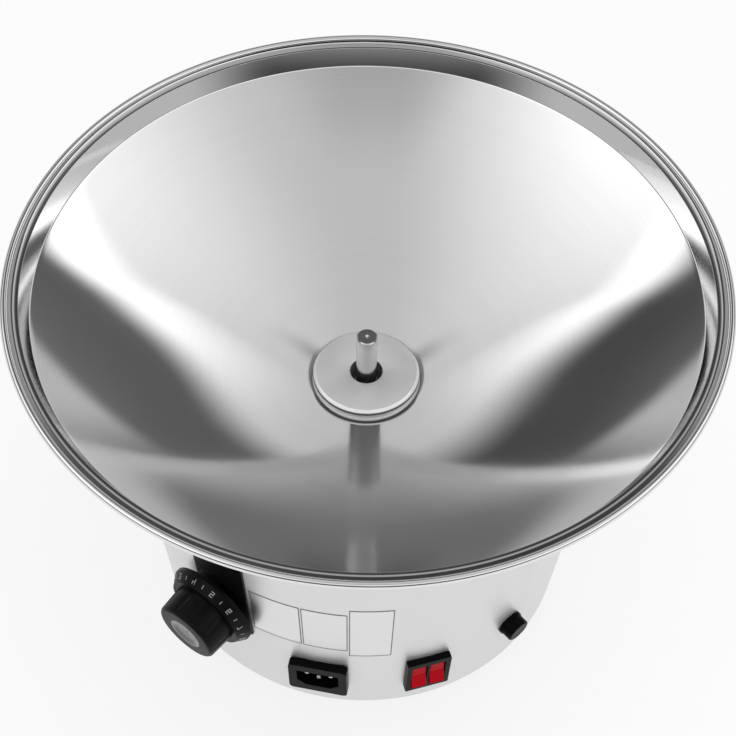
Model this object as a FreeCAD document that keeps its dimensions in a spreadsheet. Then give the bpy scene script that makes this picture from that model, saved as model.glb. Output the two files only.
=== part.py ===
import FreeCAD, Part
import math
import os
import Sketcher
from FreeCAD import Matrix, Placement, Rotation, Vector

# Chocolate fountain base: a spun bowl on a tapered drum that holds the heater,
# the geared motor and the controls. Millimetres. The origin is on the floor under
# the drive shaft, +Z is up, and the controls face -Y.

doc = FreeCAD.newDocument("ChocolateFountain")

SIZES = [
    # Bowl, heights measured from the floor up to the centre of the rolled rim
    ("rim_height", 246, "floor to the centre of the rolled rim"),
    ("rim_radius", 195, "outside of the rolled rim"),
    ("bead_radius", 2.2, "rolled, wired edge of the rim"),
    ("ledge_width", 5.3, "flat ledge inside the rolled edge"),
    ("ledge_drop", 0.7, "ledge below the centre of the rolled edge"),
    ("step_width", 4.8, "steep band between ledge and dish"),
    ("step_drop", 10, "height of the steep band"),
    ("bowl_depth", 81.5, "rim centre down to the bowl floor"),
    ("bowl_sheet", 1.5, "spun stainless sheet"),
    ("bowl_curve", 450, "radius of the dish's curved profile"),
    ("bowl_crease_radius", 4, "rounding between band and dish"),
    ("seat_radius", 31.5, "flat middle of the bowl"),
    # Hub that the tower stands on
    ("hub_radius", 30.2, "hub disc"),
    ("hub_height", 4.6, "hub disc above the bowl floor"),
    ("hub_bevel", 1.6, "polished bevel round the hub disc"),
    ("hub_bore_radius", 9.1, "opening that the shaft stands in"),
    ("hub_sleeve_radius", 15, "threaded sleeve below the disc"),
    ("hub_sleeve_length", 26, "sleeve below the bowl floor"),
    ("seal_radius", 12, "pocket for seal and bush"),
    ("seal_depth", 8, "hub face down to the seal"),
    ("seal_height", 5, "lip seal"),
    ("bush_height", 12, "sintered bush under the seal"),
    ("gasket_sheet", 1, "silicone gasket"),
    ("gasket_radius", 24, "silicone gasket"),
    ("hub_nut_radius", 23, "across the corners of the hub nut"),
    ("hub_nut_height", 8, "hub nut"),
    # Shaft
    ("shaft_radius", 5.8, "free end of the drive shaft"),
    ("journal_step", 0.2, "drive shaft larger where it runs in the hub"),
    ("shaft_stand", 29.5, "drive shaft above the hub disc"),
    ("shaft_chamfer", 0.6, "edge of the shaft's free end"),
    ("centre_drill_radius", 1.3, "centre mark in the shaft's end"),
    ("cross_hole_radius", 1.3, "hole for the auger's locating screw"),
    ("cross_hole_drop", 5, "shaft end down to the cross hole"),
    ("running_clearance", 0.05, "radial gap between a shaft and its bush"),
    # Drum
    ("foot_gap", 9, "floor to the drum's lower edge"),
    ("drum_foot_radius", 121, "outside of the drum at its lower edge"),
    ("drum_top_radius", 142, "outside of the drum under the bowl"),
    ("drum_sheet", 1.2, "drum sheet"),
    ("drum_edge_radius", 2.5, "rounded lower edge of the drum"),
    ("flange_width", 15, "inward flange at the drum's lower edge"),
    ("ring_width", 22, "inward shelf of the support ring"),
    ("ring_leg", 14, "upright leg of the support ring"),
    ("ring_sheet", 2, "support ring sheet"),
    ("ring_drop", 16, "drum top down to the shelf's top face"),
    ("stud_radius", 2.5, "studs welded under the bowl"),
    ("stud_inset", 13, "bowl studs inside the drum's top edge"),
    ("stud_count", 6, "bowl studs"),
    ("nut_radius", 4.6, "M5 nut across the corners"),
    ("nut_height", 4, "M5 nut"),
    # Base plate and feet
    ("plate_sheet", 2, "base plate"),
    ("plate_inset", 5, "drum edge to the base plate's edge"),
    ("vent_length", 26, "vent slots in the base plate"),
    ("vent_width", 4, "vent slots in the base plate"),
    ("vent_radius", 30, "circle of the inner ends of the vent slots"),
    ("vent_count", 24, "vent slots"),
    ("screw_radius", 2, "M4 screw"),
    ("screw_clearance", 0.2, "radial gap round a screw"),
    ("screw_head_radius", 3.8, "M4 pan head"),
    ("screw_head_height", 1.8, "M4 pan head"),
    ("base_screw_length", 9, "base plate screws below the head"),
    ("base_screw_inset", 9, "base screws inside the plate's edge"),
    ("base_screw_count", 6, "base plate screws"),
    ("foot_radius", 15, "levelling foot pad"),
    ("foot_flare", 2, "pad wider at the floor"),
    ("foot_circle", 90, "circle of the feet"),
    ("foot_count", 4, "levelling feet"),
    ("foot_stud_radius", 4, "M8 stud of a foot"),
    ("foot_stud_length", 20, "stud above the pad"),
    ("foot_nut_radius", 8, "M8 nut across the corners"),
    ("foot_nut_height", 7, "M8 nut"),
    # Gear motor
    ("standoff_length", 50, "pillars under the motor carrier"),
    ("standoff_radius", 6, "pillar across the corners"),
    ("standoff_circle", 64, "circle of the pillars"),
    ("carrier_radius", 74, "motor carrier plate"),
    ("carrier_sheet", 3, "motor carrier plate"),
    ("case_x", -8, "middle of the gearbox from the shaft"),
    ("case_y", 12, "middle of the gearbox from the shaft"),
    ("case_radius", 45, "outside of the gearbox"),
    ("case_wall", 3.5, "gearbox wall"),
    ("case_floor", 4, "gearbox floor"),
    ("case_height", 30, "gearbox without its cover"),
    ("cover_height", 5, "gearbox cover"),
    ("lug_radius", 5.5, "screw lugs of the gearbox"),
    ("gear_gap", 2.5, "end gap beside a gear"),
    ("first_module", 1.0, "motor pinion and layshaft wheel"),
    ("second_module", 1.25, "layshaft pinion and output wheel"),
    ("pinion_teeth", 12, "both pinions"),
    ("wheel_teeth", 36, "both wheels"),
    ("first_face", 8, "tooth width of the first pair"),
    ("second_face", 9, "tooth width of the second pair"),
    ("pressure_angle", 25, "degrees"),
    ("backlash", 0.14, "thinning of each tooth at the pitch circle"),
    ("lay_angle", 130, "direction of the layshaft from the shaft, degrees"),
    ("motor_angle", 10, "direction of the motor from the layshaft, degrees"),
    ("lay_pin_radius", 3, "fixed layshaft pin"),
    ("output_radius", 6.5, "gearbox output shaft"),
    ("output_stand", 22, "output shaft above the cover"),
    ("bush_wall", 2, "wall of the small bushes"),
    ("boss_wall", 2.2, "metal round a bush"),
    ("boss_height", 4, "bush bosses"),
    ("motor_radius", 27, "motor can"),
    ("motor_length", 42, "motor can"),
    ("motor_wall", 1, "motor can"),
    ("motor_shaft_radius", 3, "motor shaft"),
    ("rotor_radius", 15.5, "rotor core"),
    ("rotor_length", 22, "rotor core and stator stack"),
    ("rotor_lift", 9, "can's bottom to the rotor core"),
    ("air_gap", 0.6, "rotor to stator"),
    ("coupling_radius", 11, "shaft coupling"),
    ("coupling_length", 30, "shaft coupling"),
    ("shaft_end_gap", 1, "between the two shaft ends"),
    ("grub_radius", 2, "grub screws of the coupling"),
    # Heater under the bowl
    ("heater_radius", 4, "tubular heater"),
    ("heater_circle", 98, "circle of the heater"),
    ("heater_span", 320, "degrees of bowl that the heater goes round"),
    ("heater_leg", 22, "cold ends of the heater"),
    ("heater_gap", 0.1, "heater to the bowl's underside"),
    ("clamp_sheet", 1.5, "heater clamp strip"),
    ("clamp_foot", 11, "foot of the heater clamp"),
    ("clamp_span", 8, "degrees that a clamp covers"),
    ("clamp_count", 4, "heater clamps"),
    ("cutout_radius", 8, "thermal cut-out"),
    ("cutout_height", 10, "thermal cut-out"),
    ("cutout_circle", 62, "circle of the thermal cut-out"),
    ("cutout_angle", 30, "direction of the thermal cut-out, degrees"),
    # Controls: directions are degrees from the front, positive to the right
    ("inlet_angle", -10.5, "direction of the mains inlet"),
    ("inlet_level", 44, "middle of the inlet above the floor"),
    ("inlet_width", 34, "inlet bezel"),
    ("inlet_height", 30, "inlet bezel"),
    ("inlet_proud", 5, "inlet bezel out from the wall"),
    ("inlet_corner", 3, "corner of the inlet bezel"),
    ("inlet_body_width", 27, "inlet body behind the wall"),
    ("inlet_body_height", 20, "inlet body behind the wall"),
    ("inlet_body_depth", 20, "inlet body behind the wall"),
    ("socket_width", 24.4, "opening that takes the mains connector"),
    ("socket_height", 16.8, "opening that takes the mains connector"),
    ("socket_bevel", 5, "cut corners of the opening"),
    ("socket_depth", 17, "opening from the bezel's face"),
    ("blade_width", 4, "contact blade"),
    ("blade_sheet", 2, "contact blade"),
    ("blade_pitch", 7, "middle blade to side blade"),
    ("blade_offset", 2, "side blades above the socket's middle"),
    ("blade_reach", 14, "contact blade inside the socket"),
    ("blade_tail", 8, "contact blade behind the body"),
    ("panel_gap", 0.2, "cut-out larger than what goes through it"),
    ("switch_angle", 18, "direction of the switch"),
    ("switch_level", 45, "middle of the switch above the floor"),
    ("switch_width", 26, "switch frame"),
    ("switch_height", 33, "switch frame"),
    ("switch_proud", 4, "switch frame out from the wall"),
    ("switch_corner", 1.2, "corner of the switch frame"),
    ("switch_body_width", 23, "switch body behind the wall"),
    ("switch_body_height", 28, "switch body behind the wall"),
    ("switch_body_depth", 17, "switch body behind the wall"),
    ("rocker_width", 8.6, "one rocker"),
    ("rocker_length", 20.6, "one rocker"),
    ("rocker_edge", 3.4, "rocker end above its pivot"),
    ("rocker_dish", 2.0, "rocker middle above its pivot"),
    ("rocker_keel", 5.5, "rocker below its pivot"),
    ("rocker_swing", 10, "degrees each side of the middle"),
    ("rocker_gap", 0.35, "rocker to the side of its well"),
    ("rocker_bar", 1.5, "bar between the two rockers"),
    ("well_length", 24, "opening for a rocker"),
    ("well_depth", 12, "opening for a rocker"),
    ("pivot_drop", 3.2, "frame face down to the rocker pivot"),
    ("pivot_radius", 1, "rocker pivot"),
    ("pivot_reach", 0.5, "pivot into the frame"),
    ("tab_width", 6.3, "terminal tabs"),
    ("tab_sheet", 0.8, "terminal tabs"),
    ("tab_length", 8, "terminal tabs"),
    ("fuse_angle", 43.3, "direction of the fuse holder"),
    ("fuse_level", 54, "middle of the fuse holder above the floor"),
    ("fuse_flange_radius", 8, "fuse holder flange"),
    ("fuse_flange_height", 2, "fuse holder flange"),
    ("fuse_barrel_radius", 6, "fuse holder barrel"),
    ("fuse_barrel_length", 38, "fuse holder barrel behind the wall"),
    ("fuse_bore_radius", 4.6, "bore of the fuse holder"),
    ("fuse_cap_radius", 7.4, "fuse cap"),
    ("fuse_cap_height", 6.5, "fuse cap"),
    ("fuse_stem_length", 8, "fuse cap's stem in the bore"),
    ("fuse_radius", 2.6, "glass fuse"),
    ("fuse_length", 20, "glass fuse"),
    ("fuse_grip", 3, "length of fuse held in the stem"),
    ("fuse_nut_radius", 9.5, "fuse holder nut across the corners"),
    ("fuse_nut_height", 4, "fuse holder nut"),
    ("slot_gap", 0.3, "gap between parts that slide apart by hand"),
    ("knob_angle", -38, "direction of the thermostat knob"),
    ("knob_level", 89, "middle of the knob above the floor"),
    ("skirt_radius", 27.5, "dial skirt of the knob"),
    ("skirt_front_radius", 23.5, "front of the dial skirt"),
    ("skirt_rim", 2, "straight edge of the skirt"),
    ("skirt_height", 8, "dial skirt"),
    ("grip_radius", 20, "knob grip"),
    ("grip_end_radius", 19.2, "knob grip at its end"),
    ("knob_height", 24.5, "knob from back to end"),
    ("knob_round", 2.5, "rounded end of the grip"),
    ("flute_count", 10, "grip flutes"),
    ("flute_depth", 0.9, "grip flutes"),
    ("flute_radius", 5, "grip flutes"),
    ("knob_stand", 3, "dial plate to the back of the knob"),
    ("knob_shell", 3, "hollow behind the skirt leaves this wall"),
    ("knob_boss_radius", 6, "boss inside the knob"),
    ("cap_radius", 10.4, "bright disc in the knob's end"),
    ("cap_height", 3, "bright disc"),
    ("cap_dish", 1.6, "hollow of the bright disc"),
    ("spindle_radius", 3, "thermostat spindle"),
    ("spindle_reach", 12, "spindle inside the knob"),
    ("dial_sheet", 1.2, "dial plate on the wall"),
    ("dial_glue", 0.1, "adhesive between the wall and the dial plate"),
    ("dial_width", 35, "dial plate"),
    ("dial_shift", 4.5, "middle of the dial plate right of the knob"),
    ("dial_bottom", 68, "dial plate above the floor"),
    ("dial_top", 150, "dial plate above the floor"),
    ("neck_radius", 5, "thermostat neck through the wall"),
    ("thermostat_width", 34, "thermostat body"),
    ("thermostat_height", 42, "thermostat body"),
    ("thermostat_depth", 26, "thermostat body"),
    ("thermostat_set", 4, "wall to the thermostat body"),
    ("bulb_radius", 3, "thermostat bulb"),
    ("bulb_length", 44, "thermostat bulb"),
    ("bulb_circle", 62, "thermostat bulb from the axis"),
    ("bulb_angle", -120, "direction of the bulb, degrees"),
    ("capillary_radius", 1, "capillary tube"),
    ("block_length", 46, "terminal block"),
    ("block_width", 18, "terminal block"),
    ("block_height", 14, "terminal block"),
    ("block_y", -72, "terminal block in front of the shaft"),
    ("block_poles", 4, "ways of the terminal block"),
    ("wire_radius", 1.1, "insulated wire"),
    ("wire_bend", 8, "bends of wires and capillary"),
    ("wire_gap", 0.15, "wire's end to its terminal"),
]

sheet = doc.addObject("Spreadsheet::Sheet", "Sizes")
for row, (alias, number, note) in enumerate(SIZES, start=1):
    sheet.set("A%d" % row, note)
    sheet.set("B%d" % row, str(number))
    sheet.setAlias("B%d" % row, alias)
doc.recompute()


class Size:
    """A length that carries its number and the sheet expression that gives it."""

    def __init__(self, number, text):
        self.number = float(number)
        self.text = text

    def __add__(self, other):
        other = as_size(other)
        return Size(self.number + other.number, "(%s + %s)" % (self.text, other.text))

    def __sub__(self, other):
        other = as_size(other)
        return Size(self.number - other.number, "(%s - %s)" % (self.text, other.text))

    def __mul__(self, other):
        other = as_size(other)
        return Size(self.number * other.number, "(%s * %s)" % (self.text, other.text))

    def __truediv__(self, other):
        other = as_size(other)
        return Size(self.number / other.number, "(%s / %s)" % (self.text, other.text))

    def __neg__(self):
        return Size(-self.number, "(0 - %s)" % self.text)

    __radd__ = __add__
    __rmul__ = __mul__


def as_size(value):
    if isinstance(value, Size):
        return value
    return Size(value, "(%s)" % repr(float(value)))


def root(size):
    return Size(math.sqrt(size.number), "sqrt(%s)" % size.text)


class Sizes:
    """Reads the sheet: S.rim_radius is the Size of that cell."""

    def __getattr__(self, alias):
        return Size(sheet.get(alias), "Sizes." + alias)


S = Sizes()
worked = doc.addObject("Spreadsheet::Sheet", "Worked")


def worked_out(row, alias, size):
    """Gives a computed size a cell of its own, so that later formulas stay short."""
    worked.set("A%d" % row, "=" + size.text.replace("Worked.", ""))
    worked.setAlias("A%d" % row, alias)
    doc.recompute()
    return Size(size.number, "Worked." + alias)


ZERO = Size(0, "0")
CUT_REACH = as_size(30)
parts = []


def keep(obj, label):
    """Names a finished sub-part, which also names its file."""
    obj.Label = label
    parts.append(obj)
    return obj


def bind(obj, prop, size):
    size = as_size(size)
    setattr(obj, prop, size.number)
    obj.setExpression(prop, size.text)


def place(obj, x=ZERO, y=ZERO, z=ZERO, turn=0.0):
    """Shifts an object by sizes from the sheet, after a turn about Z in degrees."""
    sizes = [as_size(size) for size in (x, y, z)]
    obj.Placement = Placement(Vector(*[size.number for size in sizes]),
                              Rotation(Vector(0, 0, 1), turn))
    for axis, size in zip("xyz", sizes):
        obj.setExpression("Placement.Base.%s" % axis, size.text)
    return obj


# Sketches and features of a body

def new_body(name):
    return doc.addObject("PartDesign::Body", name)


def origin_feature(body, role):
    return next(item for item in body.Origin.OriginFeatures if item.Role == role)


def new_sketch(body, role):
    sketch = body.newObject("Sketcher::SketchObject", "Sketch")
    sketch.AttachmentSupport = [(origin_feature(body, role), "")]
    sketch.MapMode = "FlatFace"
    return sketch


def pin_point(sketch, line, end, x, y):
    """Ties one end of a line to its two coordinates in the sketch."""
    for kind, size, axis in (("DistanceX", as_size(x), -2), ("DistanceY", as_size(y), -1)):
        if size.text == "0":
            sketch.addConstraint(Sketcher.Constraint("PointOnObject", line, end, axis))
            continue
        index = sketch.addConstraint(
            Sketcher.Constraint(kind, -1, 1, line, end, size.number))
        sketch.setExpression("Constraints[%d]" % index, size.text)


def hollow_arc(start, end, radius):
    """Arc between two points that sags below its chord, and whether it runs backwards."""
    backwards = start.x > end.x
    low, high = (end, start) if backwards else (start, end)
    chord = high - low
    reach = math.sqrt(radius * radius / chord.dot(chord) - 0.25)
    centre = (low + high) / 2.0 + Vector(-chord.y, chord.x, 0) * reach
    angles = [math.atan2(point.y - centre.y, point.x - centre.x) for point in (low, high)]
    circle = Part.Circle(centre, Vector(0, 0, 1), radius)
    return Part.ArcOfCircle(circle, angles[0], angles[1]), backwards


def outline(body, role, points, curves=None):
    """Closed outline through points given as pairs of sizes.

    Its lines are straight, but for those that curves names with an arc's radius.
    """
    sketch = new_sketch(body, role)
    curves = curves or {}
    corners = [Vector(as_size(x).number, as_size(y).number, 0) for x, y in points]
    count = len(corners)
    ends = []
    for i in range(count):
        start, end = corners[i], corners[(i + 1) % count]
        line, backwards = Part.LineSegment(start, end), False
        if i in curves:
            line, backwards = hollow_arc(start, end, curves[i].number)
        sketch.addGeometry(line, False)
        ends.append((2, 1) if backwards else (1, 2))
    for i in range(count):
        after = (i + 1) % count
        sketch.addConstraint(
            Sketcher.Constraint("Coincident", i, ends[i][1], after, ends[after][0]))
    for i, (x, y) in enumerate(points):
        pin_point(sketch, i, ends[i][0], x, y)
    for i, radius in curves.items():
        index = sketch.addConstraint(Sketcher.Constraint("Radius", i, radius.number))
        sketch.setExpression("Constraints[%d]" % index, radius.text)
    return sketch


def circles(body, role, rounds):
    """Circles given as (x, y, radius)."""
    sketch = new_sketch(body, role)
    for i, (x, y, radius) in enumerate(rounds):
        centre = Vector(as_size(x).number, as_size(y).number, 0)
        sketch.addGeometry(Part.Circle(centre, Vector(0, 0, 1), radius.number), False)
        pin_point(sketch, i, 3, x, y)
        index = sketch.addConstraint(Sketcher.Constraint("Radius", i, radius.number))
        sketch.setExpression("Constraints[%d]" % index, radius.text)
    return sketch


def revolve(body, sketch, angle=360.0, groove=False):
    kind = "PartDesign::Groove" if groove else "PartDesign::Revolution"
    feature = body.newObject(kind, "Turned")
    feature.Profile = sketch
    feature.ReferenceAxis = (sketch, ["V_Axis"])
    bind(feature, "Angle", angle)
    sketch.Visibility = False
    return feature


def extrude(body, sketch, length, pocket=False, flip=False, middle=False):
    kind = "PartDesign::Pocket" if pocket else "PartDesign::Pad"
    feature = body.newObject(kind, "Raised")
    feature.Profile = sketch
    feature.Reversed = flip
    feature.Midplane = middle
    bind(feature, "Length", length)
    return feature


def repeat(body, feature, count, angle=360.0):
    """Polar pattern of one feature about the body's own Z axis."""
    pattern = body.newObject("PartDesign::PolarPattern", "Pattern")
    pattern.Originals = [feature]
    pattern.Axis = (origin_feature(body, "Z_Axis"), [""])
    pattern.Angle = angle
    bind_count(pattern, "Occurrences", count)
    body.Tip = pattern
    return pattern


def bind_count(obj, prop, size):
    setattr(obj, prop, int(round(size.number)))
    obj.setExpression(prop, size.text)


def soften(body, picker, radius, kind="Fillet"):
    """Rounds or chamfers the edges of the body's last feature that picker accepts."""
    doc.recompute()
    base = body.Tip
    names = ["Edge%d" % (i + 1) for i, edge in enumerate(base.Shape.Edges) if picker(edge)]
    feature = body.newObject("PartDesign::" + kind, kind)
    feature.Base = (base, names)
    bind(feature, "Radius" if kind == "Fillet" else "Size", radius)
    return feature


def circle_at(radius, height):
    """Picks circular edges of one radius at one height of the body's own frame."""
    def picker(edge):
        curve = edge.Curve
        return (isinstance(curve, Part.Circle)
                and abs(curve.Radius - radius.number) < 0.01
                and abs(curve.Center.z - height.number) < 0.01)
    return picker


def upright(edge):
    """Picks straight edges along Z."""
    if not isinstance(edge.Curve, Part.Line):
        return False
    return abs(edge.tangentAt(edge.FirstParameter).z) > 0.999


def turned(name, profile):
    """Body made by turning a closed profile of (radius, height) points about Z."""
    body = new_body(name)
    revolve(body, outline(body, "XZ_Plane", profile))
    return body


def tube(name, inner, outer, bottom, top):
    return turned(name, [(inner, bottom), (outer, bottom), (outer, top), (inner, top)])


def rod(name, radius, bottom, top):
    return turned(name, [(ZERO, bottom), (radius, bottom), (radius, top), (ZERO, top)])


def rectangle(width, height, x=ZERO, y=ZERO):
    half_w = width / 2
    half_h = height / 2
    return [(x - half_w, y - half_h), (x + half_w, y - half_h),
            (x + half_w, y + half_h), (x - half_w, y + half_h)]


# Primitives and booleans outside a body

def cylinder(radius, height, z=ZERO, x=ZERO, y=ZERO):
    obj = doc.addObject("Part::Cylinder", "Cylinder")
    bind(obj, "Radius", radius)
    bind(obj, "Height", height)
    return place(obj, x, y, z)


def hexagon(radius, height, z=ZERO):
    obj = doc.addObject("Part::Prism", "Hexagon")
    obj.Polygon = 6
    bind(obj, "Circumradius", radius)
    bind(obj, "Height", height)
    place(obj, z=z)
    return obj


def block(width, depth, height, z=ZERO):
    """Box centred on Z, standing on z."""
    obj = doc.addObject("Part::Box", "Block")
    bind(obj, "Length", width)
    bind(obj, "Width", depth)
    bind(obj, "Height", height)
    place(obj, x=-(width / 2), y=-(depth / 2), z=z)
    return obj


def fuse(*objects):
    obj = doc.addObject("Part::MultiFuse", "Fuse")
    obj.Shapes = list(objects)
    obj.Refine = True
    return obj


def cut(base, *tools):
    obj = doc.addObject("Part::Cut", "Cut")
    obj.Base = base
    obj.Tool = tools[0] if len(tools) == 1 else fuse(*tools)
    return obj


def group(objects):
    obj = doc.addObject("Part::Compound", "Group")
    obj.Links = list(objects)
    return obj


def on_circle(maker, radius, count, start, x=ZERO, y=ZERO):
    """Copies from maker() on a circle round x, y, the first at start degrees from +X."""
    number = int(round(as_size(count).number))
    placed = []
    for i in range(number):
        angle = start + 360.0 * i / number
        turn = math.radians(angle)
        obj = maker()
        level = obj.Placement.Base.z
        there = (radius * math.cos(turn) + x, radius * math.sin(turn) + y)
        obj.Placement = Placement(Vector(there[0].number, there[1].number, level),
                                  Rotation(Vector(0, 0, 1), angle))
        obj.setExpression("Placement.Base.x", there[0].text)
        obj.setExpression("Placement.Base.y", there[1].text)
        placed.append(obj)
    return placed


# Heights and radii that several pieces share

bowl_floor = S.rim_height - S.bowl_depth
hub_top = bowl_floor + S.hub_height
ledge_z = S.rim_height - S.ledge_drop
step_z = ledge_z - S.step_drop
bead_centre = S.rim_radius - S.bead_radius
ledge_inner = bead_centre - S.bead_radius - S.ledge_width
dish_radius = ledge_inner - S.step_width


def arc_centre(low, high, radius):
    """Centre of the arc that sags below the chord between two points."""
    across = high[0] - low[0]
    rise = high[1] - low[1]
    reach = root(radius * radius / (across * across + rise * rise) - 0.25)
    return ((low[0] + high[0]) / 2 - rise * reach, (low[1] + high[1]) / 2 + across * reach)


def corner_shift(before, after):
    """Outward and downward shift of a sheet's corner between two slopes in radians."""
    middle = (before + after) / 2.0
    spread = math.cos((after - before) / 2.0)
    return S.bowl_sheet * (math.sin(middle) / spread), S.bowl_sheet * (math.cos(middle) / spread)


def dish_slope(radius, centre_x):
    """Slope in radians of the dish's inner side at a radius."""
    return math.asin((radius - centre_x).number / S.bowl_curve.number)


def outer_corner(corner, before, after):
    out, down = corner_shift(before, after)
    return (corner[0] + out, corner[1] - down)


seat_corner = (S.seat_radius, bowl_floor)
dish_corner = (dish_radius, step_z)
ledge_corner = (ledge_inner, ledge_z)
dish_x = arc_centre(seat_corner, dish_corner, S.bowl_curve)[0]
band_slope = math.atan2(S.step_drop.number, S.step_width.number)
seat_under = outer_corner(seat_corner, 0.0, dish_slope(S.seat_radius, dish_x))
dish_under = outer_corner(dish_corner, dish_slope(dish_radius, dish_x), band_slope)
ledge_under = outer_corner(ledge_corner, band_slope, 0.0)
under_curve = S.bowl_curve + S.bowl_sheet
under_x, under_z = arc_centre(seat_under, dish_under, under_curve)
under_x = worked_out(1, "under_x", under_x)
under_z = worked_out(2, "under_z", under_z)


def underside(radius, gap=ZERO):
    """Height, at a radius, of the dish's underside or of a surface a gap below it."""
    reach = under_curve + gap
    across = radius - under_x
    return under_z - root(reach * reach - across * across)


def under_tilt(radius):
    """Slope in radians of the dish's underside at a radius."""
    return math.asin((radius - under_x).number / under_curve.number)


drum_inner_top = S.drum_top_radius - S.drum_sheet
drum_top = worked_out(3, "drum_top", underside(drum_inner_top))
drum_slope = (S.drum_top_radius - S.drum_foot_radius) / (drum_top - S.foot_gap)
drum_tilt = math.degrees(math.atan(drum_slope.number))


def drum_radius(height):
    """Outside radius of the drum at a height above the floor."""
    return S.drum_foot_radius + (height - S.foot_gap) * drum_slope


def on_wall(azimuth, level, out=0.0):
    """Frame on the drum's outside: X to the right, Y up the wall, Z straight out."""
    angle = math.radians(azimuth.number)
    right = Vector(math.cos(angle), math.sin(angle), 0)
    flat = Vector(math.sin(angle), -math.cos(angle), 0)
    lean = math.radians(drum_tilt)
    normal = flat * math.cos(lean) - Vector(0, 0, math.sin(lean))
    up = normal.cross(right)
    spot = flat * drum_radius(level).number + Vector(0, 0, level.number) + normal * out
    matrix = Matrix(right.x, up.x, normal.x, spot.x,
                    right.y, up.y, normal.y, spot.y,
                    right.z, up.z, normal.z, spot.z,
                    0, 0, 0, 1)
    return Placement(matrix)


def at(obj, placement):
    """Gives an object a placement worked out from the sheet's sizes."""
    for axis in "xyz":
        obj.setExpression("Placement.Base.%s" % axis, None)
    obj.Placement = placement
    return obj


def through_wall(tool, azimuth, level):
    """Sets a cutting tool square to the wall, half of it on each side."""
    return at(tool, on_wall(azimuth, level).multiply(tool.Placement))


plate_top = S.foot_gap
plate_bottom = plate_top - S.plate_sheet
plate_radius = S.drum_foot_radius - S.plate_inset
carrier_bottom = plate_top + S.standoff_length
case_bottom = carrier_bottom + S.carrier_sheet
case_top = case_bottom + S.case_height
cover_top = case_top + S.cover_height
first_low = case_bottom + S.case_floor + S.gear_gap
first_high = first_low + S.first_face
second_low = first_high + S.gear_gap
second_high = second_low + S.second_face
output_top = cover_top + S.output_stand
journal_radius = S.shaft_radius + S.journal_step
journal_top = hub_top - S.seal_depth + S.shaft_chamfer
shaft_bottom = output_top + S.shaft_end_gap
shaft_top = hub_top + S.shaft_stand
coupling_middle = output_top + S.shaft_end_gap / 2
coupling_bottom = coupling_middle - S.coupling_length / 2
coupling_top = coupling_middle + S.coupling_length / 2

second_centres = (S.pinion_teeth + S.wheel_teeth) * S.second_module / 2
first_centres = (S.pinion_teeth + S.wheel_teeth) * S.first_module / 2


def direction(angle):
    """Cosine and sine of a sheet angle in degrees, as sizes bound to the sheet."""
    turn = math.radians(angle.number)
    return (Size(math.cos(turn), "cos(%s * 1 deg)" % angle.text),
            Size(math.sin(turn), "sin(%s * 1 deg)" % angle.text))


lay_cos, lay_sin = direction(S.lay_angle)
motor_cos, motor_sin = direction(S.motor_angle)
lay_x = second_centres * lay_cos
lay_y = second_centres * lay_sin
motor_x = lay_x + first_centres * motor_cos
motor_y = lay_y + first_centres * motor_sin


# Bowl and hub

def make_bowl():
    """Spun bowl: wired rim, ledge, steep band, curved dish and flat middle with a hole."""
    body = new_body("Bowl")
    hole = S.hub_sleeve_radius + S.panel_gap
    inner = [(bead_centre, ledge_z), ledge_corner, dish_corner, seat_corner,
             (hole, bowl_floor)]
    outer = [(hole, bowl_floor - S.bowl_sheet), seat_under, dish_under, ledge_under,
             (bead_centre, ledge_z - S.bowl_sheet)]
    revolve(body, outline(body, "XZ_Plane", inner + outer, {2: S.bowl_curve, 6: under_curve}))
    soften(body, circle_at(dish_radius, step_z), S.bowl_crease_radius)
    soften(body, circle_at(ledge_inner, ledge_z), S.bowl_sheet)
    revolve(body, circles(body, "XZ_Plane", [(bead_centre, S.rim_height, S.bead_radius)]))
    keep(body, "bowl")


def make_hub():
    """Disc that the tower stands on, with its sleeve down through the bowl."""
    sleeve_end = bowl_floor - S.hub_sleeve_length
    shoulder = hub_top - S.seal_depth
    body = turned("Hub", [
        (S.hub_bore_radius, hub_top), (S.hub_radius - S.hub_bevel, hub_top),
        (S.hub_radius, hub_top - S.hub_bevel), (S.hub_radius, bowl_floor),
        (S.hub_sleeve_radius, bowl_floor), (S.hub_sleeve_radius, sleeve_end),
        (S.seal_radius, sleeve_end), (S.seal_radius, shoulder),
        (S.hub_bore_radius, shoulder)])
    keep(body, "hub_disc")
    nut_top = bowl_floor - S.bowl_sheet - S.gasket_sheet
    keep(tube("Gasket", S.hub_sleeve_radius, S.gasket_radius, nut_top,
              bowl_floor - S.bowl_sheet), "hub_gasket")
    nut = cut(hexagon(S.hub_nut_radius, S.hub_nut_height, nut_top - S.hub_nut_height),
              cylinder(S.hub_sleeve_radius, S.hub_nut_height, nut_top - S.hub_nut_height))
    keep(nut, "hub_nut")
    seal_inner = journal_radius + S.running_clearance
    seal_bottom = shoulder - S.seal_height
    lip = S.running_clearance * 4
    keep(turned("Seal", [
        (seal_inner, shoulder), (S.seal_radius, shoulder), (S.seal_radius, seal_bottom),
        (S.seal_radius - S.bush_wall, seal_bottom),
        (S.seal_radius - S.bush_wall, shoulder - S.bush_wall),
        (seal_inner + lip, shoulder - S.bush_wall)]), "shaft_seal")
    keep(tube("Bush", seal_inner, S.seal_radius, seal_bottom - S.bush_height, seal_bottom),
         "shaft_bush")


# Drum, support ring and base plate

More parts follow.
